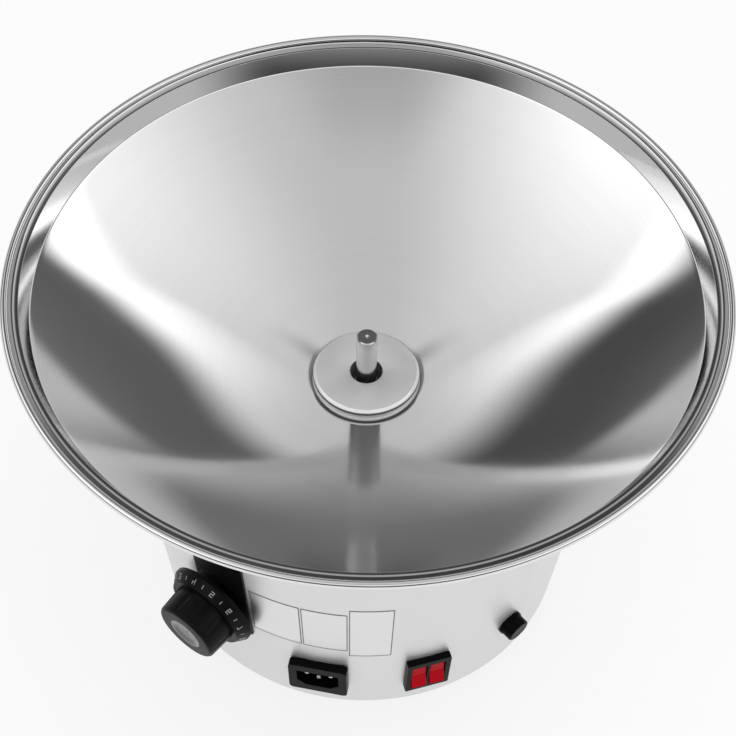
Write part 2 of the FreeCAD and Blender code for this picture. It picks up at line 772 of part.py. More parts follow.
def make_drum():
    """Tapered drum with an inward flange below and the cut-outs of the controls."""
    sheet_z = S.foot_gap + S.drum_sheet
    body = turned("Drum", [
        (S.drum_foot_radius, S.foot_gap), (S.drum_top_radius, drum_top),
        (drum_inner_top, drum_top),
        (drum_radius(sheet_z) - S.drum_sheet, sheet_z),
        (S.drum_foot_radius - S.flange_width, sheet_z),
        (S.drum_foot_radius - S.flange_width, S.foot_gap)])
    soften(body, circle_at(S.drum_foot_radius, S.foot_gap), S.drum_edge_radius)
    inside = drum_radius(sheet_z) - S.drum_sheet
    soften(body, circle_at(inside, sheet_z), S.drum_edge_radius - S.drum_sheet)
    low = -(CUT_REACH / 2)
    inlet = block(S.inlet_body_width + S.panel_gap * 2,
                  S.inlet_body_height + S.panel_gap * 2, CUT_REACH, low)
    switch = block(S.switch_body_width + S.panel_gap * 2,
                   S.switch_body_height + S.panel_gap * 2, CUT_REACH, low)
    fuse_hole = cylinder(S.fuse_barrel_radius + S.panel_gap, CUT_REACH, low)
    neck_hole = cylinder(S.neck_radius + S.panel_gap, CUT_REACH, low)
    through_wall(inlet, S.inlet_angle, S.inlet_level)
    through_wall(switch, S.switch_angle, S.switch_level)
    through_wall(fuse_hole, S.fuse_angle, S.fuse_level)
    through_wall(neck_hole, S.knob_angle, S.knob_level)
    screws = on_circle(
        lambda: cylinder(S.screw_radius + S.screw_clearance, S.drum_sheet * 3,
                         S.foot_gap - S.drum_sheet),
        plate_radius - S.base_screw_inset, S.base_screw_count, BASE_SCREW_START)
    keep(cut(body, inlet, switch, fuse_hole, neck_hole, *screws), "housing_shell")


ring_top = drum_top - S.ring_drop
ring_bottom = ring_top - S.ring_sheet
stud_circle = S.drum_top_radius - S.stud_inset


def make_support_ring():
    """Rolled angle inside the drum's top that the bowl is bolted down to."""
    leg_top = ring_bottom + S.ring_leg
    outer_low = drum_radius(ring_bottom) - S.drum_sheet
    outer_high = drum_radius(leg_top) - S.drum_sheet
    lift = drum_slope * S.ring_sheet
    body = turned("SupportRing", [
        (outer_low - S.ring_width, ring_bottom), (outer_low, ring_bottom),
        (outer_high, leg_top), (outer_high - S.ring_sheet, leg_top),
        (outer_low - S.ring_sheet + lift, ring_top),
        (outer_low - S.ring_width, ring_top)])
    hole = circles(body, "XY_Plane", [(stud_circle, ZERO, S.stud_radius + S.screw_clearance)])
    pocket = extrude(body, hole, S.rim_height, pocket=True, flip=True)
    repeat(body, pocket, S.stud_count)
    keep(body, "support_ring")


def make_bowl_studs():
    """Threaded studs welded under the dish, with a nut each below the ring."""
    stud_end = ring_bottom - S.nut_height - S.screw_head_height
    studs = on_circle(
        lambda: cylinder(S.stud_radius, underside(stud_circle - S.stud_radius) - stud_end,
                         stud_end),
        stud_circle, S.stud_count, 0.0)

    def nut():
        low = ring_bottom - S.nut_height
        return cut(hexagon(S.nut_radius, S.nut_height, low),
                   cylinder(S.stud_radius, S.nut_height, low))
    nuts = on_circle(nut, stud_circle, S.stud_count, 0.0)
    keep(group(studs), "bowl_studs")
    keep(group(nuts), "bowl_nuts")


FOOT_START = 45.0
PILLAR_START = 60.0
PILLAR_COUNT = 3
BASE_SCREW_START = 30.0


def make_base_plate():
    """Round base plate with vent slots, under the drum's flange."""
    body = new_body("BasePlate")
    disc = circles(body, "XY_Plane", [(ZERO, ZERO, plate_radius)])
    pad = extrude(body, disc, S.plate_sheet)
    slot = outline(body, "XY_Plane", rectangle(
        S.vent_width, S.vent_length, ZERO, S.vent_radius + S.vent_length / 2))
    pocket = extrude(body, slot, S.plate_sheet * 3, pocket=True, middle=True)
    repeat(body, pocket, S.vent_count)
    place(body, z=plate_bottom)

    def stud_hole():
        return cylinder(S.foot_stud_radius + S.slot_gap, S.plate_sheet * 3,
                        plate_bottom - S.plate_sheet)

    def screw_hole():
        return cylinder(S.screw_radius + S.screw_clearance, S.plate_sheet * 3,
                        plate_bottom - S.plate_sheet)
    tools = on_circle(stud_hole, S.foot_circle, S.foot_count, FOOT_START)
    tools += on_circle(screw_hole, plate_radius - S.base_screw_inset, S.base_screw_count,
                       BASE_SCREW_START)
    tools += on_circle(screw_hole, S.standoff_circle, PILLAR_COUNT, PILLAR_START)
    keep(cut(body, *tools), "base_plate")


def pan_screw(length, under_head, up=True):
    """Screw along Z whose shank leaves the head's flat side upwards or downwards."""
    if up:
        head = cylinder(S.screw_head_radius, S.screw_head_height,
                        under_head - S.screw_head_height)
        shank = cylinder(S.screw_radius, length, under_head)
    else:
        head = cylinder(S.screw_head_radius, S.screw_head_height, under_head)
        shank = cylinder(S.screw_radius, length, under_head - length)
    return fuse(head, shank)


def make_base_screws():
    screws = on_circle(lambda: pan_screw(S.base_screw_length, plate_bottom),
                       plate_radius - S.base_screw_inset, S.base_screw_count,
                       BASE_SCREW_START)
    keep(group(screws), "base_screws")


def make_feet():
    """Levelling feet: a flared pad with its stud, screwed into nuts on the plate."""
    number = int(round(S.foot_count.number))
    for i in range(number):
        turn_cos, turn_sin = direction(as_size(FOOT_START + 360.0 * i / number))
        body = turned("Foot", [
            (ZERO, ZERO), (S.foot_radius, ZERO), (S.foot_radius - S.foot_flare, plate_bottom),
            (S.foot_stud_radius, plate_bottom),
            (S.foot_stud_radius, plate_bottom + S.foot_stud_length),
            (ZERO, plate_bottom + S.foot_stud_length)])
        place(body, S.foot_circle * turn_cos, S.foot_circle * turn_sin)
        keep(body, "levelling_foot_%d" % (i + 1))

    def nut():
        bore = S.foot_stud_radius + S.running_clearance
        return cut(hexagon(S.foot_nut_radius, S.foot_nut_height, plate_top),
                   cylinder(bore, S.foot_nut_height, plate_top))
    keep(group(on_circle(nut, S.foot_circle, S.foot_count, FOOT_START)), "foot_nuts")


# Gears

def involute_point(base_radius, radius, turn):
    """Point of the involute of a base circle at a radius, turned by an angle."""
    roll = math.sqrt(max(radius * radius / (base_radius * base_radius) - 1.0, 0.0))
    angle = roll - math.atan(roll) + turn
    return Vector(radius * math.cos(angle), radius * math.sin(angle), 0)


def gear_face(teeth, module):
    """Face of a spur gear whose first tooth points along +X.

    Each flank is the arc through three points of its involute, with a radial line
    below the base circle. Tips and roots are arcs about the axis.
    """
    pressure = math.radians(S.pressure_angle.number)
    pitch = teeth * module / 2.0
    base = pitch * math.cos(pressure)
    tip = pitch + module
    root = pitch - 1.25 * module
    half = (math.pi * module / 2.0 - S.backlash.number) / (2.0 * pitch)
    start = half + math.tan(pressure) - pressure
    low = max(base, root)
    middle = (low + tip) / 2.0
    edges = []
    for i in range(teeth):
        spin = Rotation(Vector(0, 0, 1), 360.0 * i / teeth)
        flank = [involute_point(base, radius, 0.0) for radius in (low, middle, tip)]
        flank = [Rotation(Vector(0, 0, 1), -math.degrees(start)).multVec(p) for p in flank]
        right = [spin.multVec(p) for p in flank]
        left = [spin.multVec(Vector(p.x, -p.y, 0)) for p in flank]
        next_right = [Rotation(Vector(0, 0, 1), 360.0 / teeth).multVec(p) for p in right]
        edges.append(Part.Arc(*right).toShape())
        edges.append(Part.Arc(right[2], spin.multVec(Vector(tip, 0, 0)), left[2]).toShape())
        edges.append(Part.Arc(left[2], left[1], left[0]).toShape())
        root_left = left[0]
        root_right = next_right[0]
        if root < low:
            root_left = Vector(left[0]).multiply(root / low)
            root_right = Vector(next_right[0]).multiply(root / low)
            edges.append(Part.LineSegment(left[0], root_left).toShape())
        bottom = Rotation(Vector(0, 0, 1), 360.0 * (i + 0.5) / teeth).multVec(Vector(root, 0, 0))
        edges.append(Part.Arc(root_left, bottom, root_right).toShape())
        if root < low:
            edges.append(Part.LineSegment(root_right, next_right[0]).toShape())
    return Part.Face(Part.Wire(edges))


def gear_solid(teeth, module, low, high, bore):
    face = gear_face(int(round(teeth.number)), module.number)
    solid = face.extrude(Vector(0, 0, high.number - low.number))
    solid.translate(Vector(0, 0, low.number))
    hole = Part.makeCylinder(bore.number, high.number - low.number + 2,
                             Vector(0, 0, low.number - 1))
    return solid.cut(hole)


def gear_feature(label, shape, x, y, turn):
    obj = doc.addObject("Part::Feature", label)
    obj.Shape = shape
    obj.Placement = Placement(Vector(x.number, y.number, 0),
                              Rotation(Vector(0, 0, 1), turn))
    keep(obj, label)


def make_gears():
    """Motor pinion, layshaft wheel with its pinion, and output wheel, all in mesh.

    A pinion has a tooth on the line of centres and the wheel has a gap there.
    """
    gap_turn = 180.0 / S.wheel_teeth.number
    to_motor = S.motor_angle.number
    to_output = S.lay_angle.number + 180.0
    bore = S.lay_pin_radius + S.running_clearance
    wheel = gear_solid(S.wheel_teeth, S.first_module, first_low, first_high, bore)
    gear_feature("layshaft_wheel", wheel, lay_x, lay_y, to_motor + gap_turn)
    pinion = gear_solid(S.pinion_teeth, S.second_module, first_high,
                        second_high + S.gear_gap / 2, bore)
    gear_feature("layshaft_pinion", pinion, lay_x, lay_y, to_output)
    output = gear_solid(S.wheel_teeth, S.second_module, second_low, second_high,
                        S.output_radius)
    windows = [Part.makeCylinder(
        S.output_radius.number * 0.7, S.second_face.number + 2,
        Rotation(Vector(0, 0, 1), 60.0 * i).multVec(
            Vector(second_centres.number / 2, 0, second_low.number - 1)))
        for i in range(6)]
    output = output.cut(windows)
    gear_feature("output_wheel", output, ZERO, ZERO, S.lay_angle.number + gap_turn)
    driver = gear_solid(S.pinion_teeth, S.first_module, first_low - S.gear_gap / 4,
                        first_high + S.gear_gap / 4, S.motor_shaft_radius)
    gear_feature("motor_pinion", driver, motor_x, motor_y, to_motor + 180.0)


# Gearbox and motor

LUG_COUNT = 4


def boss_radius(shaft):
    return shaft + S.bush_wall + S.boss_wall


def case_cylinder(radius, height, z):
    return cylinder(radius, height, z, S.case_x, S.case_y)


def lug_row(radius, height, z):
    """Cylinders at the four screw lugs of the gearbox."""
    return on_circle(lambda: cylinder(radius, height, z), S.case_radius + S.lug_radius / 2,
                     LUG_COUNT, 0.0, S.case_x, S.case_y)


def make_gearbox():
    """Round gearbox: a cup with four lugs, and its cover with the output bush."""
    floor_top = case_bottom + S.case_floor
    bush_outer = S.output_radius + S.bush_wall
    motor_bush = S.motor_shaft_radius + S.bush_wall
    hole = S.screw_radius + S.screw_clearance

    cup = cut(fuse(case_cylinder(S.case_radius, S.case_height, case_bottom),
                   *lug_row(S.lug_radius, S.case_height, case_bottom)),
              case_cylinder(S.case_radius - S.case_wall, S.case_height, floor_top))
    boss = cylinder(boss_radius(S.output_radius), S.boss_height, floor_top)
    case = cut(fuse(cup, boss),
               cylinder(bush_outer, S.case_floor + S.boss_height, case_bottom),
               cylinder(motor_bush, S.case_floor, case_bottom, motor_x, motor_y),
               cylinder(S.lay_pin_radius, S.case_floor, case_bottom, lay_x, lay_y),
               *lug_row(hole, S.case_height, case_bottom))
    keep(case, "gearbox_case")

    lid = fuse(case_cylinder(S.case_radius, S.cover_height, case_top),
               cylinder(boss_radius(S.output_radius), S.boss_height, cover_top),
               *lug_row(S.lug_radius, S.cover_height, case_top))
    cover = cut(lid,
                cylinder(bush_outer, S.cover_height + S.boss_height, case_top),
                cylinder(S.lay_pin_radius, S.cover_height, case_top, lay_x, lay_y),
                *lug_row(hole, S.cover_height, case_top))
    keep(cover, "gearbox_cover")

    low = carrier_bottom - S.screw_head_height
    screws = on_circle(lambda: pan_screw(cover_top - low, cover_top, up=False),
                       S.case_radius + S.lug_radius / 2, LUG_COUNT, 0.0, S.case_x, S.case_y)
    keep(group(screws), "gearbox_screws")

    inner = S.output_radius + S.running_clearance
    lower = tube("BushLow", inner, bush_outer, case_bottom, floor_top + S.boss_height)
    upper = tube("BushHigh", inner, bush_outer, case_top, cover_top + S.boss_height)
    keep(group([lower, upper]), "output_bushes")
    pin = rod("LayPin", S.lay_pin_radius, case_bottom, cover_top)
    keep(place(pin, lay_x, lay_y), "layshaft_pin")


def make_carrier():
    """Plate that the gear motor hangs in, on three hexagon pillars with their screws."""
    hole = S.screw_radius + S.screw_clearance
    plate = cylinder(S.carrier_radius, S.carrier_sheet, carrier_bottom)
    can_hole = cylinder(S.motor_radius + S.slot_gap, S.carrier_sheet, carrier_bottom,
                        motor_x, motor_y)
    pillar_holes = on_circle(lambda: cylinder(hole, S.carrier_sheet, carrier_bottom),
                             S.standoff_circle, PILLAR_COUNT, PILLAR_START)
    keep(cut(plate, can_hole, *lug_row(hole, S.carrier_sheet, carrier_bottom),
             *pillar_holes), "motor_carrier")

    def pillar():
        return cut(hexagon(S.standoff_radius, S.standoff_length, plate_top),
                   cylinder(S.screw_radius, S.standoff_length, plate_top))
    pillars = on_circle(pillar, S.standoff_circle, PILLAR_COUNT, PILLAR_START)
    keep(group(pillars), "carrier_pillars")
    low = on_circle(lambda: pan_screw(S.plate_sheet + S.base_screw_length, plate_bottom),
                    S.standoff_circle, PILLAR_COUNT, PILLAR_START)
    high = on_circle(lambda: pan_screw(S.carrier_sheet + S.base_screw_length, case_bottom,
                                       up=False),
                     S.standoff_circle, PILLAR_COUNT, PILLAR_START)
    keep(group(low + high), "pillar_screws")


def make_motor():
    """Motor under the gearbox: can, stator, rotor core, shaft and end bush."""
    can_bottom = case_bottom - S.motor_length
    inner = S.motor_radius - S.motor_wall
    bush_outer = S.motor_shaft_radius + S.bush_wall
    shaft_gap = S.motor_shaft_radius + S.running_clearance
    can = turned("MotorCan", [
        (bush_outer, can_bottom), (S.motor_radius, can_bottom), (S.motor_radius, case_bottom),
        (inner, case_bottom), (inner, can_bottom + S.motor_wall),
        (bush_outer + S.boss_wall, can_bottom + S.motor_wall),
        (bush_outer + S.boss_wall, can_bottom + S.boss_height),
        (bush_outer, can_bottom + S.boss_height)])
    keep(place(can, motor_x, motor_y), "motor_can")
    core_bottom = can_bottom + S.rotor_lift
    core_top = core_bottom + S.rotor_length
    stator = tube("Stator", S.rotor_radius + S.air_gap, inner, core_bottom, core_top)
    keep(place(stator, motor_x, motor_y), "stator")
    core = tube("RotorCore", S.motor_shaft_radius, S.rotor_radius, core_bottom, core_top)
    keep(place(core, motor_x, motor_y), "rotor_core")
    shaft = rod("MotorShaft", S.motor_shaft_radius, can_bottom,
                first_high + S.gear_gap / 4)
    keep(place(shaft, motor_x, motor_y), "motor_shaft")
    low = place(tube("MotorBushLow", shaft_gap, bush_outer, can_bottom,
                     can_bottom + S.boss_height), motor_x, motor_y)
    high = place(tube("MotorBushHigh", shaft_gap, bush_outer, case_bottom,
                      case_bottom + S.case_floor), motor_x, motor_y)
    keep(group([low, high]), "motor_bushes")


def make_shafts():
    """Output shaft of the gearbox, coupling and drive shaft, all on the main axis."""
    keep(rod("OutputShaft", S.output_radius, case_bottom, output_top), "output_shaft")
    body = turned("DriveShaft", [
        (ZERO, shaft_bottom), (journal_radius, shaft_bottom),
        (journal_radius, journal_top), (S.shaft_radius, journal_top),
        (S.shaft_radius, shaft_top - S.shaft_chamfer),
        (S.shaft_radius - S.shaft_chamfer, shaft_top),
        (S.centre_drill_radius, shaft_top),
        (ZERO, shaft_top - S.centre_drill_radius)])
    hole = circles(body, "YZ_Plane", [(ZERO, shaft_top - S.cross_hole_drop,
                                       S.cross_hole_radius)])
    extrude(body, hole, S.shaft_radius * 4, pocket=True, middle=True)
    keep(body, "drive_shaft")
    coupling = turned("Coupling", [
        (S.output_radius, coupling_bottom), (S.coupling_radius, coupling_bottom),
        (S.coupling_radius, coupling_top), (journal_radius, coupling_top),
        (journal_radius, coupling_middle - S.shaft_end_gap / 2),
        (S.output_radius, coupling_middle - S.shaft_end_gap / 2)])
    levels = [coupling_middle - S.coupling_length / 4, coupling_middle + S.coupling_length / 4]
    drilled = circles(coupling, "YZ_Plane", [(ZERO, z, S.grub_radius) for z in levels])
    extrude(coupling, drilled, S.coupling_radius * 2, pocket=True, flip=True)
    keep(coupling, "shaft_coupling")
    grubs = []
    for z, inner in zip(levels, (S.output_radius, journal_radius)):
        grub = cylinder(S.grub_radius, S.coupling_radius - inner - S.slot_gap)
        grub.Placement = Placement(Vector(0, 0, 0), Rotation(Vector(0, 1, 0), 90))
        grub.setExpression("Placement.Base.x", inner.text)
        grub.setExpression("Placement.Base.z", z.text)
        grubs.append(grub)
    keep(group(grubs), "coupling_screws")


# Heater, cut-out and thermostat bulb under the bowl

def make_heater():
    """Tubular heater that lies against the dish, with its cold ends turned down."""
    level = underside(S.heater_circle, S.heater_radius + S.heater_gap)
    ring = doc.addObject("Part::Torus", "HeaterRing")
    bind(ring, "Radius1", S.heater_circle)
    bind(ring, "Radius2", S.heater_radius)
    bind(ring, "Angle3", S.heater_span)
    start = 90.0 + (360.0 - S.heater_span.number) / 2.0
    place(ring, z=level, turn=start)
    pieces = [ring]
    for angle in (start, start + S.heater_span.number):
        turn_cos, turn_sin = direction(as_size(angle))
        x = S.heater_circle * turn_cos
        y = S.heater_circle * turn_sin
        ball = doc.addObject("Part::Sphere", "Elbow")
        bind(ball, "Radius", S.heater_radius)
        pieces.append(place(ball, x, y, level))
        pieces.append(cylinder(S.heater_radius, S.heater_leg, level - S.heater_leg, x, y))
    keep(fuse(*pieces), "heater")


def make_clamps():
    """Hat-shaped strips that hold the heater up, each with a stud and nut inside."""
    half = S.heater_radius + S.slot_gap
    inner = S.heater_circle - half - S.clamp_foot
    thick = S.clamp_sheet

    def under(radius, drop):
        return (radius, underside(radius, S.heater_gap + drop))

    near = S.heater_circle - half - thick
    far = S.heater_circle + half + thick
    outer = far + thick * 2
    low = S.heater_radius * 2 + S.slot_gap
    profile = [under(inner, ZERO), under(near + thick, ZERO),
               under(near + thick, low), under(far - thick, low),
               under(far - thick, ZERO), under(outer, ZERO),
               under(outer, thick), under(far, thick), under(far, low + thick),
               under(near, low + thick), under(near, thick), under(inner, thick)]
    count = int(round(S.clamp_count.number))
    clamps = []
    studs = []
    nuts = []
    stud_at = inner + S.clamp_foot / 2 - thick / 2
    for i in range(count):
        middle = 45.0 + 360.0 * i / count
        body = new_body("Clamp")
        revolve(body, outline(body, "XZ_Plane", profile), S.clamp_span)
        place(body, turn=middle - S.clamp_span.number / 2.0)
        turn_cos, turn_sin = direction(as_size(middle))
        x = stud_at * turn_cos
        y = stud_at * turn_sin
        foot_low = underside(stud_at - S.nut_radius, S.heater_gap + thick)
        stud_low = foot_low - S.nut_height - S.screw_head_height
        clamps.append(cut(body, cylinder(S.stud_radius, thick * 6, foot_low - thick, x, y)))
        studs.append(cylinder(S.stud_radius, underside(stud_at - S.stud_radius) - stud_low,
                              stud_low, x, y))
        nuts.append(cut(place(hexagon(S.nut_radius, S.nut_height), x, y,
                              foot_low - S.nut_height),
                        cylinder(S.stud_radius, S.nut_height, foot_low - S.nut_height,
                                 x, y)))
    keep(group(clamps), "heater_clamps")
    keep(group(studs + nuts), "clamp_fasteners")


def under_dish(radius, angle, drop=0.0):
    """Frame on the bowl's underside: Z points away from the bowl, X round the axis."""
    turn = math.radians(angle)
    tilt = under_tilt(radius)
    outward = Vector(math.cos(turn), math.sin(turn), 0)
    round_axis = Vector(-math.sin(turn), math.cos(turn), 0)
    normal = outward * math.sin(tilt) - Vector(0, 0, math.cos(tilt))
    side = normal.cross(round_axis)
    spot = (outward * radius.number + Vector(0, 0, underside(radius).number)
            + normal * drop)
    matrix = Matrix(round_axis.x, side.x, normal.x, spot.x,
                    round_axis.y, side.y, normal.y, spot.y,
                    round_axis.z, side.z, normal.z, spot.z,
                    0, 0, 0, 1)
    return Placement(matrix)


def make_cutout():
    """Snap-disc thermal cut-out with two tabs, against the bowl."""
    can = cylinder(S.cutout_radius, S.cutout_height)
    tabs = []
    for side in (-1, 1):
        tab = block(S.tab_width, S.tab_sheet, S.tab_length)
        tabs.append(place(tab, -(S.tab_width / 2), S.cutout_radius * 0.5 * side
                          - S.tab_sheet / 2, S.cutout_height))
    keep(at(fuse(can, *tabs),
            under_dish(S.cutout_circle, S.cutout_angle.number, S.heater_gap.number)),
         "thermal_cutout")


def wire(points, radius):
    """Round wire of straight runs, bent by an arc at each point between its ends."""
    edges = []
    start = points[0]
    for before, corner, after in zip(points, points[1:], points[2:]):
        back = before - corner
        ahead = after - corner
        room = 0.45 * min(back.Length, ahead.Length)
        back.normalize()
        ahead.normalize()
        half = back.getAngle(ahead) / 2.0
        reach = min(S.wire_bend.number / math.tan(half), room)
        bend = reach * math.tan(half)
        bisector = (back + ahead).normalize()
        middle = corner + bisector * (bend / math.sin(half) - bend)
        first = corner + back * reach
        last = corner + ahead * reach
        edges.append(Part.LineSegment(start, first).toShape())
        edges.append(Part.Arc(first, middle, last).toShape())
        start = last
    edges.append(Part.LineSegment(start, points[-1]).toShape())
    disc = Part.Face(Part.Wire(Part.makeCircle(radius, points[0], points[1] - points[0])))
    return Part.Wire(edges).makePipe(disc)


def make_bulb():
    """Thermostat bulb along the dish, and the capillary tube down to the thermostat."""
    frame = under_dish(S.bulb_circle, S.bulb_angle.number,
                       (S.bulb_radius + S.heater_gap).number)
    half = S.bulb_length.number / 2.0
    outward = frame.Rotation.multVec(Vector(0, 1, 0))
    if outward.z < 0:
        outward = -outward
    inner_end = frame.Base - outward * half
    outer_end = frame.Base + outward * half
    bulb = Part.makeCylinder(S.bulb_radius.number, S.bulb_length.number, inner_end, outward)
    wall = on_wall(S.knob_angle, S.knob_level)
    behind = -(S.thermostat_set + S.thermostat_depth / 2).number
    entry = wall.multVec(Vector(0, S.thermostat_height.number / 2.0, behind))
    rise = wall.Rotation.multVec(Vector(0, 1, 0))
    drop = Vector(0, 0, -1)
    points = [outer_end, outer_end + outward * 7.0,
              outer_end + outward * 7.0 + drop * 16.0, entry + rise * 16.0, entry]
    capillary = wire(points, S.capillary_radius.number)
    obj = doc.addObject("Part::Feature", "Bulb")
    obj.Shape = bulb.fuse(capillary)
    keep(obj, "thermostat_bulb")


# Controls on the wall

def make_inlet():
    """Mains inlet: bezel, body and the six-sided socket with its cut lower corners."""
    body = new_body("Inlet")
    bezel = outline(body, "XY_Plane", rectangle(S.inlet_width, S.inlet_height))
    extrude(body, bezel, S.inlet_proud)
    soften(body, upright, S.inlet_corner)
    back = outline(body, "XY_Plane", rectangle(S.inlet_body_width, S.inlet_body_height))
    extrude(body, back, S.inlet_body_depth, flip=True)
    half_w = S.socket_width / 2
    half_h = S.socket_height / 2
    bevel = S.socket_bevel
    shape = [(-half_w, half_h), (-half_w, -half_h + bevel), (-half_w + bevel, -half_h),
             (half_w - bevel, -half_h), (half_w, -half_h + bevel), (half_w, half_h)]
    sketch = outline(body, "XY_Plane", shape)
    sketch.AttachmentOffset = Placement(Vector(0, 0, S.inlet_proud.number), Rotation())
    sketch.setExpression("AttachmentOffset.Base.z", S.inlet_proud.text)
    extrude(body, sketch, S.socket_depth, pocket=True)
    placement = on_wall(S.inlet_angle, S.inlet_level)
    blades = []
    slots = []
    floor = S.inlet_proud - S.socket_depth
    for side in (-1, 0, 1):
        x = S.blade_pitch * side - S.blade_sheet / 2
        drop = S.blade_offset if side else -S.blade_offset
        y = drop - S.blade_width / 2
        tail = -(S.inlet_body_depth + S.blade_tail)
        for bucket in (blades, slots):
            blade = block(S.blade_sheet, S.blade_width, floor + S.blade_reach - tail)
            bucket.append(place(blade, x, y, tail))
    housing = cut(body, *slots)
    keep(at(housing, placement), "inlet_housing")
    keep(at(group(blades), placement), "inlet_blades")


def make_switch():
    """Double rocker switch: frame with two wells, two rockers and their tabs."""
    body = new_body("Switch")
    frame_face = outline(body, "XY_Plane", rectangle(S.switch_width, S.switch_height))
    extrude(body, frame_face, S.switch_proud)
    soften(body, upright, S.switch_corner)
    back = outline(body, "XY_Plane", rectangle(S.switch_body_width, S.switch_body_height))
    extrude(body, back, S.switch_body_depth, flip=True)
    well_width = S.rocker_width + S.rocker_gap * 2
    shift = (well_width + S.rocker_bar) / 2
    for side in (-1, 1):
        well = outline(body, "XY_Plane", rectangle(well_width, S.well_length, shift * side))
        well.AttachmentOffset = Placement(Vector(0, 0, S.switch_proud.number), Rotation())
        well.setExpression("AttachmentOffset.Base.z", S.switch_proud.text)
        extrude(body, well, S.well_depth, pocket=True)
    pivot_z = S.switch_proud - S.pivot_drop
    bore = circles(body, "YZ_Plane", [
        (ZERO, pivot_z, S.pivot_radius + S.running_clearance)])
    extrude(body, bore, (shift + well_width / 2 + S.pivot_reach + S.rocker_gap) * 2,
            pocket=True, middle=True)
    placement = on_wall(S.switch_angle, S.switch_level)
    tabs = []
    slots = []
    for side in (-1, 1):
        for row in (-1, 0, 1):
            x = shift * side - S.tab_width / 2
            y = S.well_length * 0.3 * row - S.tab_sheet / 2
            low = -(S.switch_body_depth + S.tab_length)
            for bucket in (tabs, slots):
                tab = block(S.tab_width, S.tab_sheet, S.tab_length + S.tab_sheet * 2)
                bucket.append(place(tab, x, y, low))
    keep(at(cut(body, *slots), placement), "switch_frame")
    keep(at(group(tabs), placement), "switch_tabs")

    half = S.rocker_length / 2
    foot = half * 0.4
    for side, name in ((-1, "rocker_left"), (1, "rocker_right")):
        rocker = new_body(name)
        side_view = outline(rocker, "YZ_Plane", [
            (-half, S.rocker_edge), (ZERO, S.rocker_dish), (half, S.rocker_edge),
            (half - S.rocker_gap, -(S.rocker_keel * 0.4)), (foot, -S.rocker_keel),
            (-foot, -S.rocker_keel), (-half + S.rocker_gap, -(S.rocker_keel * 0.4))])
        extrude(rocker, side_view, S.rocker_width, middle=True)
        pins = circles(rocker, "YZ_Plane", [(ZERO, ZERO, S.pivot_radius)])
        extrude(rocker, pins, S.rocker_width + (S.rocker_gap + S.pivot_reach) * 2,
                middle=True)
        pose = Placement(Vector(shift.number * side, 0, pivot_z.number),
                         Rotation(Vector(1, 0, 0), -S.rocker_swing.number))
        keep(at(rocker, placement.multiply(pose)), name)


def make_fuse():
    """Fuse holder with its nut behind the wall, the cap and the glass fuse."""
    placement = on_wall(S.fuse_angle, S.fuse_level)
    end = -S.fuse_barrel_length
    holder = turned("FuseHolder", [
        (S.fuse_bore_radius, S.fuse_flange_height), (S.fuse_flange_radius, S.fuse_flange_height),
        (S.fuse_flange_radius, ZERO), (S.fuse_barrel_radius, ZERO),
        (S.fuse_barrel_radius, end), (ZERO, end),
        (ZERO, end + S.case_wall), (S.fuse_bore_radius, end + S.case_wall)])
    keep(at(holder, placement), "fuse_holder")
    stem = S.fuse_bore_radius - S.slot_gap
    top = S.fuse_flange_height + S.fuse_cap_height
    stem_end = S.fuse_flange_height - S.fuse_stem_length
    pocket = stem_end + S.fuse_grip
    cap = turned("FuseCap", [
        (ZERO, top), (S.fuse_cap_radius, top), (S.fuse_cap_radius, S.fuse_flange_height),
        (stem, S.fuse_flange_height), (stem, stem_end), (S.fuse_radius, stem_end),
        (S.fuse_radius, pocket), (ZERO, pocket)])
    soften(cap, circle_at(S.fuse_cap_radius, top), S.drum_sheet)
    keep(at(cap, placement), "fuse_cap")
    fuse_body = rod("Fuse", S.fuse_radius, pocket - S.fuse_length, pocket)
    keep(at(fuse_body, placement), "fuse_link")
    seat = -(S.drum_sheet + S.drum_foot_radius * 0.003)
    nut = cut(hexagon(S.fuse_nut_radius, S.fuse_nut_height, seat - S.fuse_nut_height),
              cylinder(S.fuse_barrel_radius, S.fuse_nut_height, seat - S.fuse_nut_height))
    keep(at(nut, placement), "fuse_nut")


